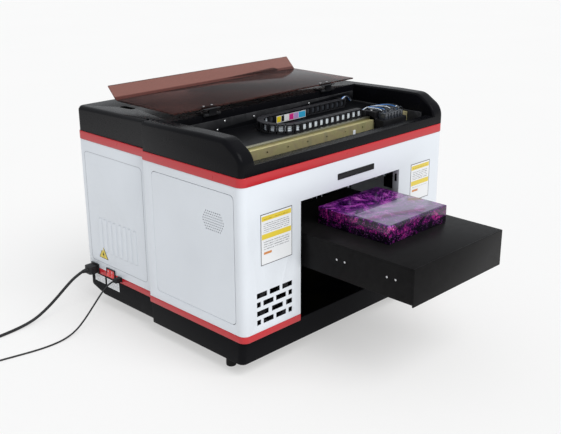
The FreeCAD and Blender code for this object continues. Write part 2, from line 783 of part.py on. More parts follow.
def carriage():
    """A saddle over the guide rail with an apron down in front of the beam."""
    saddle_top = beam_top + saddle_rise
    saddle = block("carriage_saddle", carriage_x, (front_y + 68, front_y + 102), (beam_top + 1, saddle_top))
    slot = block("carriage_slot", (carriage_x[0] - 1, carriage_x[1] + 1),
                 (rail_y[0] - carriage_clear, rail_y[1] + carriage_clear),
                 (beam_top, beam_top + rail_height + carriage_clear))
    apron = block("carriage_apron", carriage_x, (front_y + 42, front_y + beam_front - 2),
                  (head_bottom + 14, beam_top + 2))
    clamp = block("carriage_clamp", (carriage_place - 10, carriage_place + 10),
                  (front_y + 50, belt_y[0] - carriage_clear), (belt_z + 2, belt_z + pulley_radius + 3))
    ear = block("carriage_ear", (carriage_x[0] - 3, carriage_x[0] + 4), (front_y + 95, front_y + 119),
                (shelf_top + 0.6, saddle_top))
    node(cut("carriage", fuse("carriage_raw", saddle, apron, clamp, ear), slot))
    node(block("print_head", (carriage_place - 8, carriage_place + 30), (front_y + 44, front_y + 66),
               (head_bottom, head_bottom + 14)))
    lamp_x = (carriage_x[0] - 22, carriage_x[0])
    lamp = block("uv_lamp_case", lamp_x, (front_y + 44, front_y + 68), (head_bottom + 4, head_bottom + 60))
    recess = block("uv_lamp_recess", (lamp_x[0] + 3, lamp_x[1] - 3), (front_y + 47, front_y + 65),
                   (head_bottom + 3, head_bottom + 7))
    node(cut("uv_lamp", lamp, recess))
    dampers = []
    for number in range(6):
        x = carriage_x[0] + 10 + number * 11
        case = block(f"damper_case_{number}", (x, x + 8), (front_y + 45, front_y + 66),
                     (beam_top + 2, saddle_top - 2))
        neck = rod(f"damper_neck_{number}", "z", (x + 4, front_y + 56), (saddle_top - 3, saddle_top + 1.6), 2)
        tube = rod(f"damper_tube_{number}", "y", (x + 4, saddle_top + 1.6),
                   (front_y + 55, front_y + 100), 1.4)
        dampers.append(fuse(f"damper_{number}", case, neck, tube))
    node(group("ink_dampers", *dampers))


# ---------------------------------------------------------------- drag chain

chain_z = (shelf_top, shelf_top + chain_height)
chain_front_y = front_y + 104
chain_centre_y = chain_front_y + chain_depth / 2 + chain_bend_radius
chain_rear_y = chain_centre_y + chain_bend_radius - chain_depth / 2
chain_bend_x = as_size(-49)
link_pitch = 17.5
chain_end_x = 206


def chain():
    """Front run to the carriage, a half-round bend and a fixed rear run, each hollow."""
    runs = {"chain_front_run": ((chain_bend_x + 0.3, carriage_x[0] - 3), chain_front_y),
            "chain_rear_run": ((chain_bend_x + 0.3, chain_end_x), chain_rear_y)}
    for name, (span, low) in runs.items():
        outer = block(name + "_outer", span, (low, low + chain_depth), chain_z)
        inner = block(name + "_inner", (span[0] - 1, span[1] + 1),
                      (low + chain_wall, low + chain_depth - chain_wall),
                      (chain_z[0] + chain_wall, chain_z[1] - chain_wall))
        windows = []
        count = int(as_size(span[1]).value - span[0].value) // int(link_pitch)
        for number in range(count):
            start = span[0] + 5 + number * link_pitch
            windows.append(block(f"{name}_window_{number}", (start, start + 9),
                                 (low - 1, low + chain_wall + 1), (chain_z[0] + 5, chain_z[1] - 5)))
        node(cut(name, outer, inner, *windows))
    reach = chain_bend_radius + chain_depth / 2
    rings = []
    for name, radius in (("out", reach), ("in", reach - chain_depth), ("mid_out", reach - chain_wall),
                         ("mid_in", reach - chain_depth + chain_wall)):
        z = chain_z if "mid" not in name else (chain_z[0] + chain_wall, chain_z[1] - chain_wall)
        rings.append(rod(f"bend_{name}", "z", (chain_bend_x, chain_centre_y), z, radius))
    skin = cut("bend_ring", rings[0], rings[1])
    hollow = cut("bend_hollow", rings[2], rings[3])
    spare = block("bend_spare", (chain_bend_x, chain_bend_x + reach + 5),
                  (chain_centre_y - reach - 5, chain_centre_y + reach + 5), (chain_z[0] - 1, chain_z[1] + 1))
    node(cut("chain_bend", cut("bend_shell", skin, hollow), spare))


def chain_shelf():
    """The sheet under the chain, the upright behind it and the label's stand."""
    sheet_z = (shelf_top - 2.2, shelf_top - seat_gap)
    floor = block("shelf_floor", (-frame_place, frame_place),
                  (front_y + beam_front + beam_depth + 2, deck_y - 4), sheet_z)
    upright_y = (deck_y - 4, deck_y - 2)
    back = block("shelf_back", (-frame_place, frame_place), upright_y, (sheet_z[0], hinge_z - 15))
    stand = block("shelf_stand", (-36, 62), (shelf_label_y, shelf_label_y + 1.2),
                  (sheet_z[0], shelf_top + 18))
    anchor = block("shelf_anchor", (chain_end_x, chain_end_x + 4), (chain_rear_y, deck_y - 2),
                   (sheet_z[0], chain_z[1]))
    node(fuse("chain_shelf", floor, back, stand, anchor))


# ---------------------------------------------------------------- inside the casing

def ink_bottles():
    bottles = []
    for number in range(6):
        y = rear_y - 260 + number * 32
        jar = block(f"ink_jar_{number}", (half - 125, half - 65), (y, y + 28), (floor_top, floor_top + 110))
        neck = rod(f"ink_cap_{number}", "z", (half - 95, y + 14), (floor_top + 110, floor_top + 124), 11)
        bottles.append(fuse(f"ink_bottle_{number}", jar, neck))
    node(group("ink_bottles", *bottles))


def capping_station():
    x = (frame_place - 82, frame_place)
    low = head_bottom - 34
    tray = block("cap_tray", x, (front_y + 36, front_y + 72), (low, low + 26))
    well = block("cap_well", (x[0] + 14, x[0] + 60), (front_y + 40, front_y + 68), (low + 14, low + 27))
    node(cut("capping_station", tray, well))


board_sheet = 1.6


def electronics():
    board_z, edge = floor_top + 8, -half + 35
    chip_z = board_z + board_sheet
    board = block("board_sheet", (edge, edge + 120), (rear_y - 235, rear_y - 85), (board_z, chip_z))
    sizes = ((10, 225, 28, 28, 3), (50, 220, 50, 14, 12), (10, 170, 18, 60, 10), (55, 160, 35, 35, 5))
    chips = [block(f"board_chip_{number}", (edge + x, edge + x + wide), (rear_y - y, rear_y - y + deep),
                   (chip_z, chip_z + tall))
             for number, (x, y, wide, deep, tall) in enumerate(sizes)]
    posts = [rod(f"board_post_{number}", "z", (edge + x, rear_y - y), (floor_top, board_z), 3)
             for number, (x, y) in enumerate(((6, 229), (114, 229), (6, 91), (114, 91)))]
    node(fuse("main_board", board, *chips, *posts))
    side, height = -half + 51, 42
    case = block("supply_case", (side, side + 98), (front_y + 60, front_y + 260), (floor_top, floor_top + height))
    fins = []
    for number in range(12):
        y = front_y + 80 + number * 12
        fins.append(block(f"supply_slot_{number}", (side + 6, side + 92), (y, y + 6),
                          (floor_top + height - 4, floor_top + height + 1)))
    node(cut("power_supply", case, *fins))


fan_shift = 5.75
fan_x = fan_shift - (half + opening_half) / 2
fan_z = housing_bottom + 50
fan_half = 40
fan_y = (front_y + wall, front_y + wall + 25)


def fan():
    square = rounded_block_xz("fan_square", (fan_x - fan_half, fan_x + fan_half), fan_y,
                              (fan_z - fan_half, fan_z + fan_half))
    duct = rod("fan_duct", "y", (fan_x, fan_z), (fan_y[0] - 1, fan_y[1] + 1), fan_half - 2)
    hub = rod("fan_stator", "y", (fan_x, fan_z), (fan_y[1] - 5, fan_y[1]), 12)
    stem = rod("fan_stem", "y", (fan_x, fan_z), (fan_y[0] + 4, fan_y[1] - 4), 2)
    reach = fan_half - 1
    spans = (((fan_x - reach, fan_x + reach), (fan_z - 2, fan_z + 2)),
             ((fan_x - 2, fan_x + 2), (fan_z - reach, fan_z + reach)))
    spokes = [block(f"fan_spoke_{number}", x, (fan_y[1] - 3, fan_y[1]), z)
              for number, (x, z) in enumerate(spans)]
    node(fuse("fan_frame", cut("fan_shroud", square, duct), hub, stem, *spokes))
    blades = [fan_blade(number) for number in range(7)]
    boss = rod("fan_boss", "y", (fan_x, fan_z), (fan_y[0] + 3, fan_y[1] - 6), 12)
    hole = rod("fan_hole", "y", (fan_x, fan_z), (fan_y[0] + 2, fan_y[1] - 5), 2 + running_clearance)
    node(cut("fan_rotor", fuse("fan_wheel", boss, *blades), hole))


def rounded_block_xz(label, x, y, z):
    """A fan's square frame with its corners rounded."""
    raw = block(label + "_raw", x, y, z)

    def along_y(edge):
        low, high = edge.Vertexes[0].Point, edge.Vertexes[-1].Point
        return abs(low.x - high.x) < 1e-6 and abs(low.z - high.z) < 1e-6

    return soften(label, raw, 5, along_y)


def fan_blade(number):
    """One pitched blade about the fan's axis."""
    blade = new("Part::Feature", f"fan_blade_{number}")
    plate = Part.makeBox(fan_half - 5 - 10, 1.6, 15, FreeCAD.Vector(10, -0.8, -7.5))
    plate.rotate(FreeCAD.Vector(), FreeCAD.Vector(1, 0, 0), 55)
    plate.rotate(FreeCAD.Vector(), FreeCAD.Vector(0, 1, 0), number * 360 / 7)
    blade.Shape = plate
    place(blade, fan_x, fan_y[0] + 11, fan_z)
    return blade


# ---------------------------------------------------------------- lift, bed and workpiece

plate_top = bed_top - bed_sheet - bearing_height - 14
rail_top = plate_top + 14
lift_y = (front_y + 25, rear_y - 50)
rail_x = 85
lift_x = 125
guide_x = 116
guide_y = (front_y + 60, rear_y - 80)
guide_radius = 5
screw_radius = 5
screw_x = 40
screw_y = step_y - 6
y_screw_z = plate_top + 20
bearing_y = (front_y + 35, front_y + 95)


def lift():
    plate = block("lift_plate", (-lift_x, lift_x), lift_y, (plate_top - frame_plate, plate_top))
    bushes, holes = [], []
    for side in (-1, 1):
        for y in guide_y:
            number = len(bushes)
            bushes.append(rod(f"lift_bush_{number}", "z", (side * guide_x, y),
                              (plate_top - frame_plate - 26, plate_top - 1), guide_radius + 4))
            holes.append(rod(f"lift_hole_{number}", "z", (side * guide_x, y),
                             (plate_top - frame_plate - 27, plate_top + 1), guide_radius + running_clearance))
    nut = rod("lift_nut", "z", (screw_x, screw_y), (plate_top - frame_plate - 22, plate_top - 1),
              screw_radius + 7)
    holes.append(rod("lift_nut_hole", "z", (screw_x, screw_y), (plate_top - frame_plate - 23, plate_top + 1),
                     screw_radius + running_clearance))
    blocks = []
    for number, span in enumerate(((lift_y[0], lift_y[0] + 8), (lift_y[1] - 8, lift_y[1]))):
        blocks.append(block(f"lift_end_{number}", (-22, 22), span, (plate_top - 1, y_screw_z + 14)))
    holes.append(rod("lift_screw_hole", "y", (0, y_screw_z), (lift_y[0] - 1, lift_y[1] + 1),
                     screw_radius + running_clearance))
    node(cut("lift_frame", fuse("lift_raw", plate, nut, *bushes, *blocks), *holes))
    rails = [block(f"y_rail_{number}", (side * rail_x - 7, side * rail_x + 7), lift_y, (plate_top, rail_top))
             for number, side in enumerate((-1, 1))]
    node(group("y_rails", *rails))
    node(rod("y_screw", "y", (0, y_screw_z), (lift_y[0] + 1, lift_y[1]), screw_radius))
    face, under = lift_y[1] + 0.5, plate_top - frame_plate
    motor = block("y_motor_case", (-21, 21), (face, face + 37.5), (y_screw_z - 21, y_screw_z + 21))
    foot = block("y_motor_foot", (-21, 21), (lift_y[1] - 4, lift_y[1] + 10), (under - 4, under))
    leg = block("y_motor_leg", (-21, 21), (face, lift_y[1] + 10), (under - 4, y_screw_z - 20))
    node(fuse("y_motor", motor, foot, leg))
    rods = [rod(f"guide_rod_{number}", "z", (side * guide_x, y), (floor_top, plate_top + 1), guide_radius)
            for number, (side, y) in enumerate((side, y) for side in (-1, 1) for y in guide_y)]
    node(group("z_guide_rods", *rods))
    node(rod("z_screw", "z", (screw_x, screw_y), (floor_top + 40, plate_top + 1), screw_radius))
    z_case = block("z_motor_case", (screw_x - 21, screw_x + 21), (screw_y - 21, screw_y + 21),
                   (floor_top, floor_top + 38))
    collar = rod("z_motor_collar", "z", (screw_x, screw_y), (floor_top + 38, floor_top + 44),
                 screw_radius + 3)
    hole = rod("z_motor_hole", "z", (screw_x, screw_y), (floor_top + 39.5, floor_top + 45),
               screw_radius + running_clearance)
    node(cut("z_motor", fuse("z_motor_raw", z_case, collar), hole))


bed_y = (front_y - bed_reach, front_y - bed_reach + bed_length)
bed_half = bed_width / 2


def bed():
    skin = bed_sheet
    top = block("bed_plate", (-bed_half, bed_half), (bed_y[0] + skin, bed_y[1]), (bed_top - skin, bed_top))
    node(top)
    sides = [block(f"bed_side_{number}", span, (bed_y[0] + skin, bed_y[1]),
                   (bed_top - bed_skirt, bed_top - skin))
             for number, span in enumerate(((-bed_half, skin - bed_half), (bed_half - skin, bed_half)))]
    node(group("bed_side_plates", *sides))
    node(block("bed_front_plate", (-bed_half, bed_half), (bed_y[0], bed_y[0] + skin),
               (bed_top - bed_apron, bed_top)))
    screws = []
    for number in range(4):
        for shift in (0, 21):
            y = bed_y[0] + 43 + number * 127 + shift
            if y.value > bed_y[1].value - 5:
                continue
            for side in (-1, 1):
                span = (-bed_half - 1.2, -bed_half) if side < 0 else (bed_half, bed_half + 1.2)
                screws.append(rod(f"bed_screw_{len(screws)}", "x", (y, bed_top - 33), span, 2.2))
    screws.append(rod("bed_thumb_screw", "x", (bed_y[0] + 8, bed_top - 62), (bed_half, bed_half + 5), 3))
    node(group("bed_screws", *screws))
    blocks = []
    for side in (-1, 1):
        for y in bearing_y:
            label = f"bearing_{len(blocks)}"
            outer = block(label + "_raw", (side * rail_x - 20, side * rail_x + 20), (y, y + 40),
                          (rail_top - 8, bed_top - skin))
            play = 7 + running_clearance
            slot = block(label + "_slot", (side * rail_x - play, side * rail_x + play),
                         (y - 1, y + 41), (rail_top - 9, rail_top + running_clearance))
            blocks.append(cut(label, outer, slot))
    nut = block("y_nut_raw", (-14, 14), (front_y + 78, front_y + 92), (y_screw_z - 9, bed_top - skin))
    hole = rod("y_nut_hole", "y", (0, y_screw_z), (front_y + 77, front_y + 93),
               screw_radius + running_clearance)
    blocks.append(cut("y_nut", nut, hole))
    node(group("bed_bearings", *blocks))
    low = front_y - 167
    node(block("sample_block", (13 - sample_width / 2, 13 + sample_width / 2), (low, low + sample_length),
               (bed_top, bed_top + sample_height)))


# ---------------------------------------------------------------- cords

def tube_path(points):
    """Straight runs joined by tangent arcs, each as large as its two runs allow."""
    spots = [FreeCAD.Vector(*point) for point in points]
    edges, start, radii = [], spots[0], []
    for before, spot, after in zip(spots, spots[1:], spots[2:]):
        inward, outward = before - spot, after - spot
        turn = math.pi - inward.getAngle(outward)
        reach = 0.45 * min(inward.Length, outward.Length)
        radii.append(reach / math.tan(turn / 2))
        enter = spot + inward.normalize() * reach
        leave = spot + outward.normalize() * reach
        middle_way = (inward + outward).normalize()
        middle = spot + middle_way * (radii[-1] / math.cos(turn / 2) - radii[-1])
        edges += [Part.LineSegment(start, enter).toShape(), Part.Arc(enter, middle, leave).toShape()]
        start = leave
    edges.append(Part.LineSegment(start, spots[-1]).toShape())
    return Part.Wire(edges), radii


def cord_tube(label, points, radius):
    """A plain tube along a route, with its radii and volume printed for comparison."""
    path, radii = tube_path(points)
    first = FreeCAD.Vector(*points[0])
    way = (FreeCAD.Vector(*points[1]) - first).normalize()
    ring = Part.Wire([Part.Circle(first, way, radius.value).toShape()])
    item = new("Part::Feature", label)
    item.Shape = path.makePipeShell([ring], True, False)
    drawn = math.pi * radius.value ** 2 * path.Length
    print(label, "length", round(path.Length), "least radius", round(min(radii), 1),
          "volume ratio", round(item.Shape.Volume / drawn, 4))
    node(item)
    return path.Length


def cord_coil(label, centre, radius, cord, columns, layers):
    """The outer shape of a neat coil lying on the floor."""
    spread = columns * cord
    outer = rod(label + "_outer", "z", centre, (0, 2 * layers * cord), radius + spread)
    inner = rod(label + "_inner", "z", centre, (-1, 2 * layers * cord + 1), radius - spread)
    node(cut(label, outer, inner))


mains_route = [(-351, 391, 92), (-372, 391, 85), (-398, 391, 68), (-424, 392, 48), (-452, 394, 28),
               (-484, 396, 11), (-520, 396, 4), (-560, 391, 3.5), (-602, 389, 3.5), (-642, 394, 3.5),
               (-671, 398, 3.5), (-692, 399.5, 3.5)]
usb_route = [(-334, 291, 91), (-346, 291, 88.5), (-362, 290, 78), (-380, 288, 63), (-400, 286, 45),
             (-423, 283, 26), (-449, 279, 10), (-480, 274, 3), (-514, 271, 2), (-550, 273, 2),
             (-588, 280, 2), (-626, 289, 2), (-662, 296, 2), (-690, 299, 2), (-706, 299.8, 2)]
mains_coil_centre = (-710, 445)
usb_coil_centre = (-721, 322)
mains_coil_radius = cell("mains_coil_radius", 38.5)
usb_coil_radius = cell("usb_coil_radius", 22)


def mains_connector():
    """An angled appliance plug that sits in the inlet, with its tapered relief."""
    inner = -rear_half - bezel_reach
    head = rounded_block("connector_head", (inner - 22, inner), (inlet_y - 13, inlet_y + 13),
                         (inlet_z - 9.5, inlet_z + 9.5), 6)
    nose = block("connector_nose", (inner - 1, -rear_half + 1.7), (inlet_y - 11.5, inlet_y + 11.5),
                 (inlet_z - 7.5, inlet_z + 7.5))
    relief = new("Part::Cone", "connector_relief")
    bind(relief, "Radius1", 7)
    bind(relief, "Radius2", mains_radius + 0.3)
    bind(relief, "Height", 18)
    relief.Placement = FreeCAD.Placement(FreeCAD.Vector(), FreeCAD.Rotation(FreeCAD.Vector(0, 1, 0), -90))
    place(relief, inner - 18, inlet_y, inlet_z)
    node(fuse("mains_connector", head, nose, relief))


def usb_plug():
    inner = -rear_half - bezel_reach
    grip = rounded_block("usb_grip", (inner - 14, inner), (usb_y - 6, usb_y + 6), (usb_z - 5, usb_z + 5),
                         2)
    shell = block("usb_shell", (inner - 1, -rear_half + 6), (usb_y - 3.9, usb_y + 3.9),
                  (usb_z - 3.6, usb_z + 3.6))
    relief = rod("usb_relief", "x", (usb_y, usb_z), (inner - 18, inner - 13), usb_radius + 1)
    node(fuse("usb_plug", grip, shell, relief))


def wall_plug():
    """The lead's other end: a three-pin plug lying beside its coil."""
    x, y = mains_coil_centre
    line = x - mains_coil_radius - 2 * mains_radius
    relief = new("Part::Cone", "wall_plug_relief")
    bind(relief, "Radius1", mains_radius + 0.3)
    bind(relief, "Radius2", 7)
    bind(relief, "Height", 24)
    relief.Placement = FreeCAD.Placement(FreeCAD.Vector(), TURN["y"])
    place(relief, line, y + 17, 10.5)
    body = rounded_block("wall_plug_body", (line - 14, line + 14), (y + 40, y + 62), (0, 24), 5)
    flange = rounded_block("wall_plug_flange", (line - 18, line + 18), (y + 61, y + 67), (0, 30), 2.5)
    pins = [block(f"wall_plug_pin_{number}", (line + shift - 3, line + shift + 3), (y + 66, y + 84),
                  (rise - 0.8, rise + 0.8))
            for number, (shift, rise) in enumerate(((-8, 11), (8, 11), (0, 21)))]
    node(fuse("mains_wall_plug", relief, body, flange, *pins))


def usb_far_plug():
    x, y = usb_coil_centre
    line = x - usb_coil_radius - 2 * usb_radius
    relief = rod("far_relief", "y", (line, 6), (y + 9, y + 24), usb_radius + 1)
    grip = rounded_block("far_grip", (line - 8, line + 8), (y + 23, y + 47), (0, 9), 2)
    shell = block("far_shell", (line - 6, line + 6), (y + 46, y + 59), (3.7, 8.3))
    node(fuse("usb_far_plug", relief, grip, shell))


def cords():
    mains_connector()
    usb_plug()
    cord_tube("mains_cord", mains_route, mains_radius)
    cord_tube("usb_cord", usb_route, usb_radius)
    cord_coil("mains_coil", mains_coil_centre, mains_coil_radius, mains_radius, 3, 2)
    cord_coil("usb_coil", usb_coil_centre, usb_coil_radius, usb_radius, 3, 3)
    wall_plug()
    usb_far_plug()


# ---------------------------------------------------------------- assemble, check and write

def build():
    base_tray()
    feet()
    front_housing()
    side_panels()
    rear_housing()
    lower_trim()
    upper_trim()
    top_cover()
    lid()
    hinges()
    labels()
    mains_inlet()
    switches()
    usb_socket()
    side_frames()
    gantry()
    belt_drive()
    carriage()
    chain()
    chain_shelf()
    ink_bottles()
    capping_station()
    electronics()
    fan()
    lift()
    bed()
    cords()


def write():
    doc.recompute()
    for item in doc.Objects:
        if "Invalid" in item.State or "Error" in item.State:
            raise RuntimeError(f"{item.Label} failed: {item.State}")
    for item in nodes:
        if item.Shape.isNull() or not item.Shape.isValid() or not item.Shape.Solids:
            raise RuntimeError(f"{item.Label} has no valid shape")
    os.makedirs("parts", exist_ok=True)
    for item in nodes:
        item.Shape.exportStep(f"parts/{item.Label}.step")
    print(len(nodes), "nodes written")


build()
write()
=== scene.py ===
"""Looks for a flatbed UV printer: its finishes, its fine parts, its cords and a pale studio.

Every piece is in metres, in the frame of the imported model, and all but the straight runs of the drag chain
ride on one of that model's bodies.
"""
import math
from contextlib import contextmanager

import bmesh
import bpy
from mathutils import Matrix, Vector


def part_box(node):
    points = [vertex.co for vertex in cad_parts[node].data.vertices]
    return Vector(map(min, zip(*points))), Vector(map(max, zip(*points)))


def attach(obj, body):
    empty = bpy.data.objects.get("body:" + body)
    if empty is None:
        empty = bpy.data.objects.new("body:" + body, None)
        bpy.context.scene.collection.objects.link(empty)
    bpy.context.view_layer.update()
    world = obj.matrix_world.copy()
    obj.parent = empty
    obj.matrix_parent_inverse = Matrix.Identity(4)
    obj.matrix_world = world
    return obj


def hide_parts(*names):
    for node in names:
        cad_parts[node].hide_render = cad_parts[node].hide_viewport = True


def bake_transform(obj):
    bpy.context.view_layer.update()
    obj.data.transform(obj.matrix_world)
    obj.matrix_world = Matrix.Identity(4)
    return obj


bl_info = {
    "name": "Flatbed Printer Pieces",
    "version": (1, 0, 0),
    "blender": (4, 5, 0),
    "location": "View3D > Sidebar > Printer",
    "description": "Adds the finished pieces of a flatbed UV printer to its packed frame",
    "category": "Add Mesh",
}

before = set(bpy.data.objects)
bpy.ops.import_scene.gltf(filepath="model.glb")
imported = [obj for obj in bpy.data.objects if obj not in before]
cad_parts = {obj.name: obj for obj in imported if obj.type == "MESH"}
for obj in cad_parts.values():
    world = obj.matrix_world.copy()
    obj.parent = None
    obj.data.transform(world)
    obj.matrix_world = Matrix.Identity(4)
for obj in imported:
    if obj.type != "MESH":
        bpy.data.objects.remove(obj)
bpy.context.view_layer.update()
SMOOTH = math.radians(35)


# ---------------------------------------------------------------- places read from the frame

def corners(node):
    """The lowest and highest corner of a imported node."""
    low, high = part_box(node)
    return Vector(low), Vector(high)


FRONT = corners("front_housing")[0]
STEP = corners("front_housing")[1].y
REAR = corners("rear_housing")[1]
HOUSING_LOW, HOUSING_TOP = FRONT.z, REAR.z
REAR_SIDE = REAR.x
BASE_TOP = corners("base_tray")[1].z


def at_front(x, distance, z):
    """A point a distance in millimetres behind the front face."""
    return Vector((x / 1000, FRONT.y + distance / 1000, z / 1000))


# ---------------------------------------------------------------- shader fields

def acting(operation, swapped=False):
    """An operator method that adds one Math node."""
    def act(self, other):
        one, two = (other, self) if swapped else (self, other)
        return self.maths(operation, one, two)
    return act


class Field:
    """A shader value that Python arithmetic acts on."""

    def __init__(self, paint, socket):
        self.paint = paint
        self.socket = socket

    def maths(self, operation, one, other=0.0, third=0.0):
        return self.paint.add("ShaderNodeMath", {"operation": operation}, {0: one, 1: other, 2: third})

    __add__ = __radd__ = acting("ADD")
    __mul__ = __rmul__ = acting("MULTIPLY")
    __sub__ = acting("SUBTRACT")
    __rsub__ = acting("SUBTRACT", swapped=True)
    __gt__ = acting("GREATER_THAN")
    __lt__ = acting("LESS_THAN")
    __mod__ = acting("FLOORED_MODULO")
    power = acting("POWER")

    def within(self, low, high):
        """1 between two numbers, else 0."""
        return self.maths("COMPARE", self, (low + high) / 2, (high - low) / 2)


class Paint:
    """One material and the nodes that make it."""

    def __init__(self, name):
        self.material = bpy.data.materials.new(name)
        self.material.use_nodes = True
        self.tree = self.material.node_tree
        self.shader = self.tree.nodes["Principled BSDF"]
        self.place = self.add("ShaderNodeTexCoord", {}, {}, "Object")

    def add(self, kind, settings, inputs, output=0):
        """Any node: its settings first, then the values or links of its sockets."""
        made = self.tree.nodes.new(kind)
        for key, setting in settings.items():
            if key == "stops":
                self.stops(made, setting)
            else:
                setattr(made, key, setting)
        for key, given in inputs.items():
            if isinstance(given, Field):
                self.tree.links.new(given.socket, made.inputs[key])
            else:
                made.inputs[key].default_value = given
        return Field(self, made.outputs[output])

    def stops(self, ramp, stops):
        elements = ramp.color_ramp.elements
        while len(elements) < len(stops):
            elements.new(1.0)
        for element, (position, colour) in zip(elements, stops):
            element.position = position
            element.color = (*colour, 1.0)

    def axes(self, where=None):
        """The X, Y and Z of a place as three fields."""
        made = self.add("ShaderNodeSeparateXYZ", {}, {0: where or self.place})
        outputs = made.socket.node.outputs
        return [Field(self, outputs[number]) for number in range(3)]

    def stretched(self, scale):
        return self.add("ShaderNodeMapping", {}, {"Vector": self.place, "Scale": scale})

    def noise(self, scale, detail=3.0, where=None, distortion=0.0, roughness=0.5):
        sockets = {"Vector": where or self.place, "Scale": scale, "Detail": detail, "Distortion": distortion,
                   "Roughness": roughness}
        return self.add("ShaderNodeTexNoise", {}, sockets)

    def ramp(self, factor, stops):
        return self.add("ShaderNodeValToRGB", {"stops": stops}, {0: factor})

    def mix(self, factor, one, other):
        """A colour between two colours."""
        sides = {}
        for key, given in ((6, one), (7, other)):
            sides[key] = given if isinstance(given, Field) else (*given[:3], 1.0)
        return self.add("ShaderNodeMix", {"data_type": "RGBA"}, {0: factor, **sides}, 2)

    def set(self, **given):
        """Sockets of the shader, named with underscores for spaces."""
        for key, value in given.items():
            socket = self.shader.inputs[key.replace("_", " ")]
            if isinstance(value, Field):
                self.tree.links.new(value.socket, socket)
            elif isinstance(value, (tuple, list)) and len(value) == 3:
                socket.default_value = (*value, 1.0)
            else:
                socket.default_value = value

    def bump(self, height, strength, distance):
        sockets = {"Height": height, "Strength": strength, "Distance": distance}
        self.set(Normal=self.add("ShaderNodeBump", {}, sockets))

    def edges(self):
        """1 on convex edges, 0 on flat ground."""
        made = self.add("ShaderNodeNewGeometry", {}, {}, "Pointiness")
        return self.ramp(made, [(0.52, (0, 0, 0)), (0.58, (1, 1, 1))])


def shade_of(colour, factor):
    return tuple(min(1.0, part * factor) for part in colour[:3])


def coated(name, colour, rough, grain=1200.0, lift=0.12, shine=0.5, coat=0.0, drift=0.08, worn=None,
           wear=0.25):
    """Paint or moulded plastic: fine grain, slow tone changes, handling marks and lighter edges."""
    paint = Paint(name)
    slow = paint.noise(7.0, 4.0)
    marks = paint.noise(46.0, 6.0, distortion=0.9)
    body = paint.mix(slow, shade_of(colour, 0.93), shade_of(colour, 1.06))
    if worn:
        body = paint.mix(paint.edges() * marks * wear, body, worn)
    paint.set(Base_Color=body, Roughness=marks * drift * 2 + (rough - drift), Specular_IOR_Level=shine,
              Coat_Weight=coat, Coat_Roughness=0.12)
    paint.bump(paint.noise(grain, 2.0), lift, 0.0002)
    return paint.material


def metal(name, colour, other, rough, stretch):
    """Bare or plated metal with fine lines along one axis."""
    paint = Paint(name)
    lines = paint.noise(900.0, 3.0, where=paint.stretched(stretch))
    cloud = paint.noise(24.0, 5.0, distortion=1.2)
    paint.set(Base_Color=paint.mix(cloud, colour, other), Metallic=1.0,
              Roughness=lines * 0.18 + cloud * 0.12 + (rough - 0.15))
    paint.bump(lines, 0.1, 0.00015)
    return paint.material


def sticker(name, ground, fields, across, lines=()):
    """Printed film: plain fields of colour and rows of small bars, laid out by place in millimetres."""
    paint = Paint(name)
    x, y, z = paint.axes()
    flat = (x if across == "x" else y) * 1000.0
    tall = z * 1000.0
    colour = paint.mix(paint.noise(60.0), ground, shade_of(ground, 0.94))
    for tint, left, right, low, high in fields:
        colour = paint.mix(flat.within(left, right) * tall.within(low, high), colour, tint)
    words = paint.noise(1.0, 1.0, where=paint.stretched((900.0, 900.0, 260.0)))
    for tint, left, right, low, high, pitch in lines:
        rows = ((tall - low) % pitch).within(0.0, pitch * 0.42)
        inside = flat.within(left, right) * tall.within(low, high)
        colour = paint.mix(inside * rows * (words > 0.47), colour, tint)
    paint.set(Base_Color=colour, Roughness=paint.noise(300.0) * 0.1 + 0.3, Coat_Weight=0.2)
    return paint.material


def smoked_sheet():
    """Brown see-through acrylic with dust and faint wiping marks, with a darker flat panel as painted shade
    and a lighter lip as painted light.
    """
    paint = Paint("smoked acrylic")
    wiped = paint.noise(5.0, 6.0, where=paint.stretched((1.0, 6.0, 6.0)), distortion=0.6)
    lip_start = 0.0075  # above the lid's underside, where its front edge bends up
    # Painted light and shade: the flat panel gets a darker brown for the shade of the dark deck under it, and
    # the bent lip a lighter brown for the light that comes through it from behind; the sheet itself has one
    # tint.
    flat = paint.axes()[2] < (corners("lid")[0].z + lip_start)
    lit_lip_tone = paint.mix(wiped, (0.31, 0.15, 0.13), (0.28, 0.135, 0.115))
    paint.set(Base_Color=paint.mix(flat, lit_lip_tone, (0.13, 0.050, 0.043)), Roughness=wiped * 0.08 + 0.05,
              IOR=1.12, Transmission_Weight=0.93)
    return paint.material


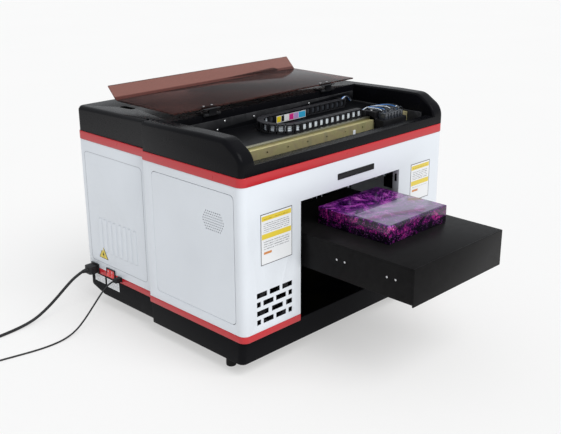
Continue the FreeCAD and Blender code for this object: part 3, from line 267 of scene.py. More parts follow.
def burst_print():
    """Bright streaks that fly out from the middle of a thick clear block, with a bluer painted reflection
    over its top and a pale field on its top that is a painted reflection.
    """
    low, high = corners("sample_block")
    size = high - low
    paint = Paint("printed acrylic")
    x, y, z = paint.axes(paint.add("ShaderNodeVectorMath", {"operation": "SUBTRACT"},
                                   {0: paint.place, 1: (low + high) / 2}))
    angle = x.maths("ARCTAN2", y, x)
    reach = (x * x + y * y).power(0.5)
    fan = paint.add("ShaderNodeCombineXYZ", {}, {0: angle * 7.0, 1: reach * 16.0, 2: z * 40.0})
    streaks = paint.noise(6.0, 9.0, where=fan, distortion=0.9, roughness=0.66)
    clouds = paint.noise(26.0, 4.0, distortion=1.4)
    sparks = paint.noise(330.0, 3.0, where=paint.stretched((1.0, 0.5, 1.0)), distortion=2.4)
    glow = streaks * 0.62 + clouds * 0.38
    rim = (reach > size.y * 0.46) * 0.02 + z.within(-size.z, -size.z * 0.10) * 0.06
    top = z > size.z / 2 - 0.0012
    colour = paint.ramp(glow - rim, [(0.42, (0.003, 0.001, 0.006)), (0.48, (0.050, 0.004, 0.075)),
                                     (0.53, (0.26, 0.008, 0.17)), (0.58, (0.58, 0.03, 0.28)),
                                     (0.67, (0.85, 0.34, 0.66))])
    # Painted reflection: the top face gets a bluer, slightly lighter copy of the ramp for the pale room
    # reflected in its gloss.
    painted_sky_tint = paint.ramp(glow - rim, [(0.42, (0.003, 0.001, 0.008)), (0.48, (0.045, 0.008, 0.11)),
                                   (0.53, (0.22, 0.02, 0.32)), (0.58, (0.46, 0.09, 0.52)),
                                   (0.67, (0.80, 0.50, 0.85))])
    colour = paint.mix(top * 0.75, colour, painted_sky_tint)
    colour = paint.mix((sparks > 0.66) * (glow > 0.5) * 0.8, colour, (0.62, 0.30, 0.62))
    # Painted reflection: a pale grey-lilac field on the top face stands in for the room reflected in the
    # glossy top. The surface is a little less rough there.
    pale = x.within(-size.x / 2 + 0.008, size.x / 2 - 0.003) * y.within(-size.y / 2 + 0.006, 0.004) * top
    colour = paint.mix(pale * (0.80 - streaks * 0.5), colour, (0.33, 0.30, 0.40))
    paint.set(Base_Color=colour, Roughness=0.20 - pale * 0.06, Specular_IOR_Level=0.25, Coat_Weight=0.35,
              Coat_Roughness=0.05)
    return paint.material


def zinc():
    """Yellow passivated plating: gold with pink and green clouds."""
    paint = Paint("yellow zinc")
    cloud = paint.noise(14.0, 5.0, distortion=2.2)
    lines = paint.noise(700.0, 2.0, where=paint.stretched((0.04, 1.0, 1.0)))
    tones = [(0.30, (0.50, 0.48, 0.24)), (0.48, (0.63, 0.57, 0.29)), (0.58, (0.58, 0.50, 0.28)),
             (0.72, (0.46, 0.48, 0.28))]
    paint.set(Base_Color=paint.ramp(cloud, tones), Metallic=0.5, Roughness=lines * 0.16 + 0.28)
    paint.bump(lines, 0.1, 0.0002)
    return paint.material


def board_lacquer():
    """Green lacquer over copper tracks."""
    paint = Paint("green lacquer")
    x, y = paint.axes()[:2]
    tracks = ((x * 1000.0) % 5.0 < 1.0) + ((y * 1000.0) % 7.0 < 1.2)
    maze = paint.add("ShaderNodeTexVoronoi", {"distance": "MANHATTAN"},
                     {"Vector": paint.place, "Scale": 70.0})
    paint.set(Base_Color=paint.mix(tracks * (maze > 0.45) * 0.5, (0.01, 0.11, 0.04), (0.10, 0.30, 0.12)),
              Roughness=0.3, Coat_Weight=0.4)
    return paint.material


def milky(name, tint):
    """Thin natural plastic with the tint of what it holds."""
    paint = Paint(name)
    fill_height = 0.088
    level = paint.axes()[2] < (corners("ink_bottles")[0].z + fill_height)
    paint.set(Base_Color=paint.mix(level * 0.8, (0.80, 0.80, 0.77), tint),
              Roughness=paint.noise(40.0) * 0.1 + 0.32, Subsurface_Weight=0.1)
    paint.bump(paint.noise(500.0), 0.05, 0.0002)
    return paint.material


def pale_floor(looks):
    paint = Paint("studio sweep")
    tone = paint.mix(paint.noise(1.5, 2.0), looks.floor_colour[:], shade_of(looks.floor_colour, 0.985))
    paint.set(Base_Color=tone, Roughness=0.9, Specular_IOR_Level=0.1, Emission_Color=tone,
              Emission_Strength=1.06)
    return paint.material


# Each row holds what coated takes, in its order; a colour that is a word is one of the settings below.
COATS = {
    "white_enamel": ("white enamel", "enamel_colour", 0.36, 1500.0, 0.06, 0.5, 0.15, 0.05),
    # Near-black painted shade for the insides of the casing and for the slot in the mouth reveal.
    "inside_painted_shade": ("inner dark coat", (0.006, 0.006, 0.0075), 0.6, 1200.0, 0.12, 0.08),
    "seam": ("panel seam", (0.48, 0.50, 0.53), 0.6),
    "red_trim": ("red trim", "trim_colour", 0.30, 900.0, 0.05, 0.35, 0.15, 0.06, (0.62, 0.12, 0.12)),
    "cover_plastic": ("satin black moulding", "cover_colour", 0.26, 1600.0, 0.10, 0.07, 0.0, 0.07,
                      (0.05, 0.05, 0.055), 0.2),
    "base_plastic": ("black base moulding", "cover_colour", 0.46, 900.0, 0.3, 0.05, 0.0, 0.06,
                     (0.05, 0.05, 0.05), 0.2),
    "foot_rubber": ("foot rubber", (0.012, 0.012, 0.012), 0.8, 700.0, 0.4, 0.2),
    "black_steel": ("black steel", (0.004, 0.0042, 0.0052), 0.42, 800.0, 0.15, 0.06, 0.0, 0.1,
                    (0.20, 0.20, 0.21), 0.4),
    "socket_plastic": ("socket plastic", (0.014, 0.014, 0.015), 0.4, 1400.0, 0.2, 0.25),
    "rocker_red": ("rocker red", (0.72, 0.018, 0.018), 0.22, 400.0, 0.03, 0.5, 0.5, 0.04),
    "cord_rubber": ("cord rubber", (0.014, 0.014, 0.015), 0.5, 1100.0, 0.25, 0.3),
    "belt_rubber": ("belt rubber", (0.013, 0.013, 0.013), 0.7, 900.0, 0.3),
    "motor_black": ("motor black", (0.015, 0.015, 0.017), 0.4, 600.0, 0.2, 0.3, 0.0, 0.08,
                    (0.3, 0.3, 0.3), 0.4),
    "carriage_plastic": ("carriage moulding", (0.006, 0.006, 0.0075), 0.36, 1200.0, 0.2, 0.12, 0.0, 0.08,
                         (0.08, 0.08, 0.08), 0.3),
    "damper_plastic": ("damper plastic", (0.045, 0.05, 0.06), 0.25, 400.0, 0.04, 0.5, 0.3),
    "tube_dark": ("grey bundle", (0.045, 0.05, 0.06), 0.5, 300.0, 0.04, 0.2),
    "tube_white": ("clear white tube", (0.74, 0.80, 0.86), 0.3, 300.0, 0.04, 0.5, 0.4),
    "tube_blue": ("blue tube", (0.05, 0.22, 0.62), 0.3, 300.0, 0.04, 0.5, 0.4),
    "chain_nylon": ("chain nylon", (0.010, 0.010, 0.012), 0.42, 1000.0, 0.2, 0.14, 0.0, 0.08,
                    (0.08, 0.08, 0.09), 0.4),
    "bed_black": ("bed black", (0.0042, 0.0038, 0.0042), 0.36, 1300.0, 0.16, 0.06, 0.0, 0.08,
                  (0.05, 0.05, 0.05), 0.2),
    "badge_black": ("badge lacquer", (0.008, 0.008, 0.010), 0.22, 500.0, 0.02, 0.15, 0.0, 0.03),
}
METALS = {
    "rail_steel": ("rail steel", (0.42, 0.40, 0.28), (0.30, 0.29, 0.22), 0.34, (0.05, 1.0, 1.0)),
    "ground_steel": ("ground steel", (0.62, 0.62, 0.64), (0.50, 0.50, 0.52), 0.28, (1.0, 0.05, 1.0)),
    "screw_steel": ("screw steel", (0.80, 0.80, 0.80), (0.62, 0.62, 0.64), 0.25, (1.0, 1.0, 1.0)),
    "pulley_aluminium": ("turned aluminium", (0.78, 0.78, 0.80), (0.66, 0.66, 0.68), 0.3, (1.0, 0.1, 1.0)),
    "lift_aluminium": ("milled plate", (0.36, 0.36, 0.38), (0.27, 0.27, 0.29), 0.42, (0.1, 1.0, 1.0)),
    "lamp_aluminium": ("lamp housing", (0.45, 0.45, 0.47), (0.36, 0.36, 0.38), 0.38, (1.0, 1.0, 0.1)),
    "head_steel": ("nozzle plate", (0.6, 0.6, 0.6), (0.5, 0.5, 0.52), 0.3, (0.1, 1.0, 1.0)),
    "supply_case": ("folded case", (0.6, 0.6, 0.6), (0.5, 0.5, 0.5), 0.4, (1.0, 0.1, 1.0)),
}
OTHERS = {"smoked_acrylic": smoked_sheet, "yellow_zinc": zinc, "printed_acrylic": burst_print,
          "board_green": board_lacquer}
MADE = {}


def finish_of(name):
    """The finish with that name, made once."""
    if name not in MADE:
        if name in COATS:
            title, colour, *rest = COATS[name]
            if isinstance(colour, str):
                colour = getattr(bpy.context.scene.printer_looks, colour)
            MADE[name] = coated(title, colour, *rest)
        else:
            MADE[name] = metal(*METALS[name]) if name in METALS else OTHERS[name]()
    return MADE[name]


# ---------------------------------------------------------------- modelling by operator

def everything(part):
    return True


def clear():
    bpy.ops.object.select_all(action="DESELECT")


def grab(piece):
    """Makes a piece the only selected and active one."""
    clear()
    piece.select_set(True)
    bpy.context.view_layer.objects.active = piece


@contextmanager
def editing(piece, wanted=everything, kind="FACE"):
    """Edit mode with the faces, edges or vertices selected that the wanted function accepts."""
    grab(piece)
    bpy.ops.object.mode_set(mode="EDIT")
    bpy.ops.mesh.select_mode(type=kind)
    bpy.ops.mesh.select_all(action="DESELECT")
    mesh = bmesh.from_edit_mesh(piece.data)
    for part in {"FACE": mesh.faces, "EDGE": mesh.edges, "VERT": mesh.verts}[kind]:
        if wanted(part):
            part.select_set(True)
    bmesh.update_edit_mesh(piece.data)
    yield
    bpy.ops.object.mode_set(mode="OBJECT")


def named(name):
    piece = bpy.context.object
    piece.name = piece.data.name = name
    return piece


def settle(piece):
    """Moves a piece's place, turn and scale into its mesh."""
    grab(piece)
    bpy.ops.object.transform_apply(location=True, rotation=True, scale=True)
    return piece


def outward(piece):
    with editing(piece):
        bpy.ops.mesh.normals_make_consistent(inside=False)
    return piece


def hollowed(piece, axis, wall):
    """Opens a block from side to side along an axis, and leaves walls of that thickness."""
    way = "xyz".index(axis)
    with editing(piece, lambda face: abs(face.normal[way]) > 0.9):
        bpy.ops.mesh.inset(thickness=wall)
        bpy.ops.mesh.bridge_edge_loops()
    return outward(piece)


def slab(name, low, high, soft=0.0, steps=2):
    """A block between two corners with bevelled edges."""
    low, high = Vector(low), Vector(high)
    clear()
    bpy.ops.mesh.primitive_cube_add(size=1, location=(low + high) / 2)
    piece = named(name)
    piece.scale = high - low
    settle(piece)
    if soft:
        with editing(piece):
            bpy.ops.mesh.bevel(offset=soft, segments=steps, affect="EDGES")
    return piece


TURNS = {"x": (0.0, math.pi / 2, 0.0), "y": (-math.pi / 2, 0.0, 0.0), "z": (0.0, 0.0, 0.0),
         "-x": (0.0, -math.pi / 2, 0.0), "-y": (math.pi / 2, 0.0, 0.0)}


def turned(name, axis, centre, stations, sides=24):
    """A round piece: a disc drawn out along its axis through stations of distance and radius."""
    clear()
    bpy.ops.mesh.primitive_circle_add(vertices=sides, radius=stations[0][1], fill_type="NGON",
                                      location=(0, 0, stations[0][0]))
    piece = settle(named(name))
    with editing(piece):
        for before, after in zip(stations, stations[1:]):
            bpy.ops.mesh.extrude_region_move(TRANSFORM_OT_translate={"value": (0, 0, after[0] - before[0])})
            if abs(after[1] - before[1]) > 1e-9:
                scale = after[1] / before[1]
                bpy.ops.transform.resize(value=(scale, scale, 1), center_override=(0, 0, after[0]))
    piece.rotation_euler = TURNS[axis]
    piece.location = centre
    return outward(settle(piece))


def drawn(name, outline, plane, low, high):
    """A flat outline drawn out square to the plane that its two letters name."""
    one, other = ("xyz".index(letter) for letter in plane)
    third = 3 - one - other
    clear()
    bpy.ops.mesh.primitive_circle_add(vertices=len(outline), radius=0.1, fill_type="NGON")
    piece = named(name)
    for vertex, (across, up) in zip(piece.data.vertices, outline):
        spot = [0.0, 0.0, 0.0]
        spot[one], spot[other], spot[third] = across, up, low
        vertex.co = spot
    way = [0.0, 0.0, 0.0]
    way[third] = high - low
    with editing(piece):
        bpy.ops.mesh.extrude_region_move(TRANSFORM_OT_translate={"value": way})
    return outward(piece)


def rounded_outline(low, high, radius, steps=5):
    """The corner-rounded outline of a rectangle."""
    points = []
    spots = ((high[0], high[1]), (low[0], high[1]), (low[0], low[1]), (high[0], low[1]))
    for number, (x, y) in enumerate(spots):
        centre = (x - math.copysign(radius, x - (low[0] + high[0]) / 2),
                  y - math.copysign(radius, y - (low[1] + high[1]) / 2))
        for step in range(steps + 1):
            angle = math.pi / 2 * (number + step / steps)
            points.append((centre[0] + radius * math.cos(angle), centre[1] + radius * math.sin(angle)))
    return points


def apply_modifier(piece, kind, **settings):
    grab(piece)
    modifier = piece.modifiers.new(kind.lower(), kind)
    for key, setting in settings.items():
        setattr(modifier, key, setting)
    bpy.ops.object.modifier_apply(modifier=modifier.name)
    return piece


def soften(piece, width, steps=2):
    """Bevels the sharp edges of a piece."""
    return apply_modifier(piece, "BEVEL", width=width, segments=steps, limit_method="ANGLE",
                          angle_limit=SMOOTH, use_clamp_overlap=False, harden_normals=False)


def carve(piece, *cutters):
    for cutter in cutters:
        apply_modifier(piece, "BOOLEAN", operation="DIFFERENCE", object=cutter, solver="EXACT")
        bpy.data.objects.remove(cutter)
    return piece


def refined(node, width=0.0006, steps=2):
    """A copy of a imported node; with a width, its flat faces are merged and its edges bevelled."""
    piece = bpy.data.objects.new(node + "_skin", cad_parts[node].data.copy())
    bpy.context.collection.objects.link(piece)
    piece.data.materials.clear()
    with editing(piece):
        bpy.ops.mesh.remove_doubles(threshold=0.00001)
        if width:
            bpy.ops.mesh.dissolve_limited(angle_limit=math.radians(0.4))
    return soften(piece, width, steps) if width else piece


def copied(piece, shift, turn=0.0):
    """A copy with its own mesh, turned about the upright axis at the origin and moved."""
    grab(piece)
    bpy.ops.object.duplicate(linked=False)
    twin = bpy.context.object
    twin.matrix_world = Matrix.Translation(Vector(shift)) @ Matrix.Rotation(turn, 4, "Z")
    return settle(twin)


def joined(name, *pieces):
    grab(pieces[0])
    for piece in pieces:
        piece.select_set(True)
    bpy.ops.object.join()
    return named(name)


def complete(piece, body, slot, finish=None, replaces=(), smooth=True):
    """Gives a piece its finish, its body and the nodes that it stands for."""
    if finish is not False:
        piece.data.materials.clear()
        piece.data.materials.append(finish_of(finish or slot))
    if smooth:
        grab(piece)
        bpy.ops.object.shade_smooth_by_angle(angle=SMOOTH)
    if body:
        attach(piece, body)
    if replaces:
        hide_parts(*replaces)
    return piece


def skin(node, body, slot, width=0.0006, finish=None, steps=2):
    return complete(refined(node, width, steps), body, slot, finish, (node,), smooth=width > 0)


def screw(name, axis, spot, radius, height=0.0016):
    """A domed head with a cross recess."""
    head = turned(name, axis, spot, [(0, radius), (height * 0.45, radius), (height * 0.8, radius * 0.82),
                                     (height, radius * 0.45)], 20)
    sign = -1 if axis.startswith("-") else 1
    way = "xyz".index(axis[-1])
    tools = []
    for long_axis in range(3):
        if long_axis == way:
            continue
        reach = [radius * 0.16] * 3
        reach[long_axis] = radius * 0.62
        reach[way] = height * 0.35
        centre = Vector(spot)
        centre[way] += sign * height
        tools.append(slab("recess", centre - Vector(reach), centre + Vector(reach)))
    return carve(head, *tools)


def round_line(name, points, radius, rings, steps):
    """A curve with a round section along one smooth open line."""
    curve = bpy.data.curves.new(name, "CURVE")
    curve.dimensions = "3D"
    curve.bevel_depth = radius
    curve.bevel_resolution = rings
    curve.use_fill_caps = True
    line = curve.splines.new("NURBS")
    line.points.add(len(points) - 1)
    for point, spot in zip(line.points, points):
        point.co = (*spot, 1.0)
    line.order_u = 3
    line.use_endpoint_u = True
    line.resolution_u = steps
    piece = bpy.data.objects.new(name, curve)
    bpy.context.collection.objects.link(piece)
    return piece


def tube(name, points, radius):
    """A thin round tube along a smooth line, as a mesh."""
    grab(round_line(name, points, radius, 2, 6))
    bpy.ops.object.convert(target="MESH")
    return bpy.context.object


# ---------------------------------------------------------------- settings

def colour_setting(name, description, default):
    return bpy.props.FloatVectorProperty(name=name, description=description, subtype="COLOR", size=4,
                                         default=(*default, 1.0), min=0, max=1)


def length_setting(name, description, default, least, most):
    return bpy.props.FloatProperty(name=name, description=description, unit="LENGTH", default=default,
                                   min=least, max=most)


class PrinterLooks(bpy.types.PropertyGroup):
    """The sizes and colours that a user would change."""

    enamel_colour: colour_setting("Enamel", "Powder coat of the casing panels", (0.75, 0.785, 0.83))
    trim_colour: colour_setting("Trim", "Glossy strips round the casing", (0.53, 0.018, 0.026))
    cover_colour: colour_setting("Mouldings", "Top cover and base tray", (0.0045, 0.0045, 0.0058))
    floor_colour: colour_setting("Floor", "Studio sweep under the printer", (0.455, 0.452, 0.448))
    edge_round: length_setting("Edge round", "Bevel on folded sheet edges", 0.0007, 0.0001, 0.003)
    link_pitch: length_setting("Link pitch", "Length of one link of the drag chain", 0.0175, 0.01, 0.04)
    screw_radius: length_setting("Screw head", "Radius of the bed's screw heads", 0.0023, 0.001, 0.005)
    mains_diameter: length_setting("Mains lead", "Diameter of the mains lead", 0.007, 0.004, 0.012)
    data_diameter: length_setting("Data lead", "Diameter of the data lead", 0.004, 0.002, 0.008)
    key_power: bpy.props.FloatProperty(
        name="Key light", description="Strength of the soft sun at the front", default=1.85, min=0)


class Maker:
    """What every operator here shares."""

    bl_options = {"REGISTER", "UNDO"}

    @property
    def looks(self):
        return bpy.context.scene.printer_looks


# ---------------------------------------------------------------- casing

def darken_inside(piece):
    """The panels' inner faces get a near-black finish as painted shade inside the casing."""
    piece.data.materials.append(finish_of("inside_painted_shade"))
    centre = (Vector(piece.bound_box[0]) + Vector(piece.bound_box[6])) / 2
    mouth = corners("bed_plate")[1].x + 0.0105
    for face in piece.data.polygons:
        away = face.center - centre
        inward = away.x * face.normal.x + away.y * face.normal.y < -0.001
        in_mouth = abs(abs(face.center.x) - mouth) < 0.001 and face.center.y < FRONT.y + 0.019
        if inward and not in_mouth:
            face.material_index = 1


class PRINTER_OT_panels(Maker, bpy.types.Operator):
    """Folded and coated sheet panels of the casing"""

    bl_idname = "printer.panels"
    bl_label = "Casing panels"

    def execute(self, context):
        for node in ("front_housing", "rear_housing"):
            darken_inside(skin(node, "casing", "white_enamel", self.looks.edge_round))
        for node in ("left_panel", "right_panel"):
            darken_inside(skin(node, "casing", "white_enamel", 0))
        for name, sign in (("left", -1), ("right", 1)):
            side = sign * REAR_SIDE
            low, high = (STEP + 0.023, HOUSING_LOW + 0.018), (REAR.y - 0.023, HOUSING_TOP - 0.026)
            ring = drawn(f"service_seam_{name}", rounded_outline(low, high, 0.010), "yz",
                         side, side + sign * 0.0004)
            complete(hollowed(ring, "x", 0.0011), "casing", "white_enamel", "seam")
        return {"FINISHED"}


class PRINTER_OT_louvres(Maker, bpy.types.Operator):
    """Pressed louvre hoods over the slots of the rear side walls"""

    bl_idname = "printer.louvres"
    bl_label = "Louvre hoods"

    def execute(self, context):
        reach, count, pitch = 0.0026, 8, 0.019
        for name, sign in (("left", -1), ("right", 1)):
            side = sign * REAR_SIDE
            outer = side + sign * reach
            y, z = REAR.y - 0.202, HOUSING_LOW + 0.053
            low = (min(side, outer), y - 0.005, z - 0.003)
            high = (max(side, outer), y + 0.0056, z + 0.079)
            hood = slab("hood", low, high)
            with editing(hood, lambda spot: abs(spot.co.x - outer) < 1e-5 and spot.co.y < y, "VERT"):
                bpy.ops.transform.translate(value=(-sign * (reach - 0.0002), 0, 0))
            with editing(hood, lambda spot: abs(spot.co.x - outer) < 1e-5, "VERT"):
                bpy.ops.transform.resize(value=(1, 1, 0.95), center_override=(outer, y, z + 0.038))
            soften(hood, 0.0006, 3)
            hoods = [hood] + [copied(hood, (0, number * pitch, 0)) for number in range(1, count)]
            complete(joined(f"louvre_hoods_{name}", *hoods), "casing", "white_enamel")
        return {"FINISHED"}


class PRINTER_OT_trims(Maker, bpy.types.Operator):
    """Glossy strips above and below the panels"""

    bl_idname = "printer.trims"
    bl_label = "Trim strips"

    def execute(self, context):
        for node in ("lower_trim", "upper_trim"):
            skin(node, "casing", "red_trim", 0.0016, steps=3)
        return {"FINISHED"}


class PRINTER_OT_base(Maker, bpy.types.Operator):
    """Base tray and its feet"""

    bl_idname = "printer.base"
    bl_label = "Base and feet"

    def execute(self, context):
        skin("base_tray", "casing", "base_plastic", 0.0022, steps=3)
        low, high = corners("feet")
        radius = 0.011
        profile = [(0, 0.0090), (0.0014, 0.0106), (0.005, radius), (0.021, 0.0104), (high.z, 0.0100)]
        first = turned("foot", "z", (low.x + radius, low.y + radius, 0), profile, 32)
        span = high - low - Vector((2 * radius, 2 * radius, 0))
        inset = 0.047
        feet = [first] + [copied(first, shift) for shift in ((span.x, 0, 0), (inset, span.y, 0),
                                                             (span.x - inset, span.y, 0))]
        complete(joined("moulded_feet", *feet), "casing", "foot_rubber", replaces=("feet",))
        return {"FINISHED"}


class PRINTER_OT_cover(Maker, bpy.types.Operator):
    """Top cover with its side rails, ledge and deck"""

    bl_idname = "printer.cover"
    bl_label = "Top cover"

    def execute(self, context):
        skin("top_cover", "casing", "cover_plastic", 0.0009, steps=3)
        return {"FINISHED"}


class PRINTER_OT_lid(Maker, bpy.types.Operator):
    """Smoked lid with its hinges and screws"""

    bl_idname = "printer.lid"
    bl_label = "Lid and hinges"

    def execute(self, context):
        skin("lid", "lid", "smoked_acrylic", 0.0005)
        skin("hinge_lid_leaves", "lid", "black_steel", 0.0004)
        skin("hinge_deck_leaves", "casing", "black_steel", 0.0004)
        hinge_low, hinge_high = corners("hinge_deck_leaves")
        lid_low = corners("lid")[0]
        for side, body in (("lid", "lid"), ("deck", "casing")):
            heads = []
            for sign in (-1, 1):
                for shift in (-0.0115, 0.0115):
                    x = sign * (hinge_high.x - 0.022) + shift
                    spot = ((x, lid_low.y + 0.010, lid_low.z + 0.003) if side == "lid"
                            else (x, hinge_high.y - 0.008, hinge_low.z + 0.0062))
                    heads.append(screw("head", "z", spot, 0.0026, 0.0014))
            complete(joined(f"{side}_leaf_screws", *heads), body, "ground_steel", "screw_steel")
        return {"FINISHED"}


# ---------------------------------------------------------------- labels and fittings

FILM = 0.0004


def filmed(piece, finish):
    piece.data.materials.append(finish)
    return complete(piece, "casing", "label_film", False)


def plate(name, x, z, finish):
    """A thin film on the front face, corners in millimetres."""
    low, high = at_front(x[0], -FILM * 1000, z[0]), at_front(x[1], 0, z[1])
    return filmed(slab(name, low, high, 0.00012, 1), finish)


def side_plate(name, points, side, finish, depth=FILM):
    """A thin film on the left wall, its outline in millimetres."""
    outline = [(y / 1000, z / 1000) for y, z in points]
    return filmed(drawn(name, outline, "yz", side - depth, side), finish)


def oblong(y, z):
    return [(y[0], z[0]), (y[1], z[0]), (y[1], z[1]), (y[0], z[1])]


class PRINTER_OT_labels(Maker, bpy.types.Operator):
    """Plain stickers and a blank badge"""

    bl_idname = "printer.labels"
    bl_label = "Labels and badge"

    def execute(self, context):
        white, yellow = (0.82, 0.83, 0.84), (0.78, 0.60, 0.06)
        grey, ink = (0.10, 0.10, 0.11), (0.28, 0.28, 0.30)
        top = HOUSING_TOP * 1000
        badge = slab("front_badge", at_front(-50, -1.2, top - 41), at_front(69, 0, top - 28), 0.0012, 3)
        with editing(badge, lambda face: face.normal.y < -0.9 and face.calc_area() > 0.0008):
            bpy.ops.mesh.inset(thickness=0.0011)
            bpy.ops.transform.translate(value=(0, 0.0003, 0))
        complete(badge, "casing", "label_film", "badge_black", ("labels",))
        for name, left, right, low, high in (("left", -276, -188, 237, 344), ("right", 205, 278, 257, 347)):
            frames = [(grey, left, right, low, high), (white, left + 1.6, right - 1.6, low + 1.6, high - 1.6),
                      (yellow, left + 3, right - 3, high - 15, high - 5),
                      (yellow, left + 3, right - 3, high - 53, high - 42),
                      ((0.62, 0.25, 0.08), left + 8, left + 30, low + 22, low + 27)]
            rows = [(ink, left + 8, right - 8, high - 39, high - 19, 4.2),
                    (ink, left + 8, right - 8, low + 32, high - 57, 5.0),
                    ((0.45, 0.30, 0.04), left + 8, right - 10, high - 12.5, high - 7, 5.0)]
            plate(f"front_label_{name}", (left, right), (low, high),
                  sticker(f"front film {name}", white, frames, "x", rows))
        side = -REAR_SIDE
        rear = REAR.y * 1000
        base = HOUSING_LOW * 1000
        black = finish_of("badge_black")
        tall = [(rear - 90, base + 31), (rear - 54, base + 31), (rear - 72, base + 62)]
        middle_y, middle_z = rear - 72, base + 41
        side_plate("hazard_border", tall, side, black, 0.0003)
        side_plate("hazard_field", [(middle_y + (y - middle_y) * 0.86, middle_z + (z - middle_z) * 0.86)
                                    for y, z in tall], side,
                   sticker("hazard film", yellow, [], "y"), 0.0006)
        bolt = [(1.5, 7), (-3.5, -1), (-0.5, -1), (-2, -7), (3.5, 1.2), (0.5, 1.2)]
        side_plate("hazard_mark", [(middle_y + y, middle_z + z) for y, z in bolt], side, black, 0.0008)
        wall = corners("base_tray")[0].x + 0.012
        low = BASE_TOP * 1000
        lines = [(ink, rear - 65, rear - 30, low - 20, low - 6, 3.2)]
        side_plate("rating_film", oblong((rear - 67, rear - 26), (low - 22, low - 4)), wall,
                   sticker("rating film", white, [], "y", lines))
        lines = [(ink, rear - 121, rear - 78, low - 23, low - 7, 3.6)]
        side_plate("port_film", oblong((rear - 124, rear - 75), (low - 26, low - 4)), wall,
                   sticker("port film", white, [], "y", lines))
        inks = [((0.80, 0.62, 0.02), -33, -20), ((0.01, 0.01, 0.01), -19, -10), ((0.85, 0.85, 0.85), -9, 5),
                ((0.70, 0.02, 0.25), 6, 20), ((0.50, 0.30, 0.62), 21, 36), ((0.04, 0.42, 0.70), 37, 59)]
        z = corners("chain_shelf")[0].z * 1000 + 4.5
        fields = [(tint, left, right, z + 1, z + 15) for tint, left, right in inks]
        film = sticker("ink film", white, fields, "x", [(ink, -30, 55, z + 1, z + 3.5, 2.5)])
        filmed(slab("ink_film", at_front(-34, 196.5, z), at_front(60, 196.9, z + 16), 0.0001, 1), film)
        return {"FINISHED"}


class PRINTER_OT_fittings(Maker, bpy.types.Operator):
    """Mains inlet, twin switch, data socket and small brackets"""

    bl_idname = "printer.fittings"
    bl_label = "Power fittings"

    def execute(self, context):
        for node in ("mains_inlet", "switch_frame", "usb_socket"):
            skin(node, "casing", "socket_plastic", 0.0005)
        for node in ("rocker_front", "rocker_rear"):
            skin(node, node, "rocker_red", 0.0007, steps=3)
            low, high = corners(node)
            x, y = low.x + 0.0009, (low.y + high.y) / 2
            bar = slab(node + "_bar", (x, y - 0.0005, high.z - 0.0062),
                       (x + 0.0012, y + 0.0005, high.z - 0.0024), 0.0002, 1)
            complete(bar, node, "rocker_red", "tube_white")
        for number, x in enumerate((29, 154)):
            tab = slab(f"lintel_tab_{number}", at_front(x - 2.5, 37, 324), at_front(x + 2.5, 38.2, 346))
            with editing(tab, lambda face: face.normal.z < -0.9):
                bpy.ops.mesh.extrude_region_move(TRANSFORM_OT_translate={"value": (0, -0.006, 0)})
            complete(soften(tab, 0.0004), "casing", "white_enamel")
        # Painted shade: a thin near-black slab stands for the dark slot in the mouth reveal.
        slot_low = Vector((corners("bed_plate")[1].x + 0.0098, FRONT.y + 0.006, 0.316))
        piece = slab("reveal_slot", slot_low, slot_low + Vector((0.0009, 0.006, 0.018)), 0.0003, 1)
        complete(piece, "casing", "white_enamel", "inside_painted_shade")
        bulkhead = 242
        heads = [screw("head", "-y", at_front(x, bulkhead, z), 0.0028, 0.0014)
                 for x, z in ((-147, 470), (-169, 454), (-60, 466), (120, 468))]
        complete(joined("bulkhead_screws", *heads), "casing", "ground_steel", "screw_steel")
        return {"FINISHED"}


# ---------------------------------------------------------------- cords

COIL_TURNS, PER_TURN = 5.25, 16
CURVE_PULL = 0.981  # the smooth line runs this much inside its points


def coil_points(centre, mean, radius, first):
    """A neat two-layer coil, wound inwards below and outwards above, entered at its near side."""
    spread = 2 * radius
    low, high = radius, 3 * radius
    out, inner = mean + spread, mean - spread
    keys = [(0, out, low), (1, out, low), (1.2, mean, low), (2, mean, low), (2.2, inner, low),
            (2.8, inner, low), (3, inner, high), (3.6, inner, high), (3.8, mean, high), (4.6, mean, high),
            (4.8, out, high), (5.26, out, high)]
    points = []
    for step in range(first, int(COIL_TURNS * PER_TURN) + 1):
        turn = step / PER_TURN
        for (t0, r0, z0), (t1, r1, z1) in zip(keys, keys[1:]):
            if t0 <= turn <= t1:
                part = (turn - t0) / (t1 - t0)
                reach = (r0 + (r1 - r0) * part) / CURVE_PULL
                height = z0 + (z1 - z0) * part
                break
        angle = -math.pi / 2 - 2 * math.pi * turn
        points.append((centre[0] + reach * math.cos(angle), centre[1] + reach * math.sin(angle), height))
    return points


def line_length(piece):
    """The length of a cord's own line."""
    bare = piece.data.copy()
    bare.bevel_depth = 0
    holder = bpy.data.objects.new("bare", bare)
    mesh = bpy.data.meshes.new_from_object(holder)
    spots = [vertex.co for vertex in mesh.vertices]
    total = sum((after - before).length for before, after in zip(spots, spots[1:]))
    bpy.data.objects.remove(holder)
    return total


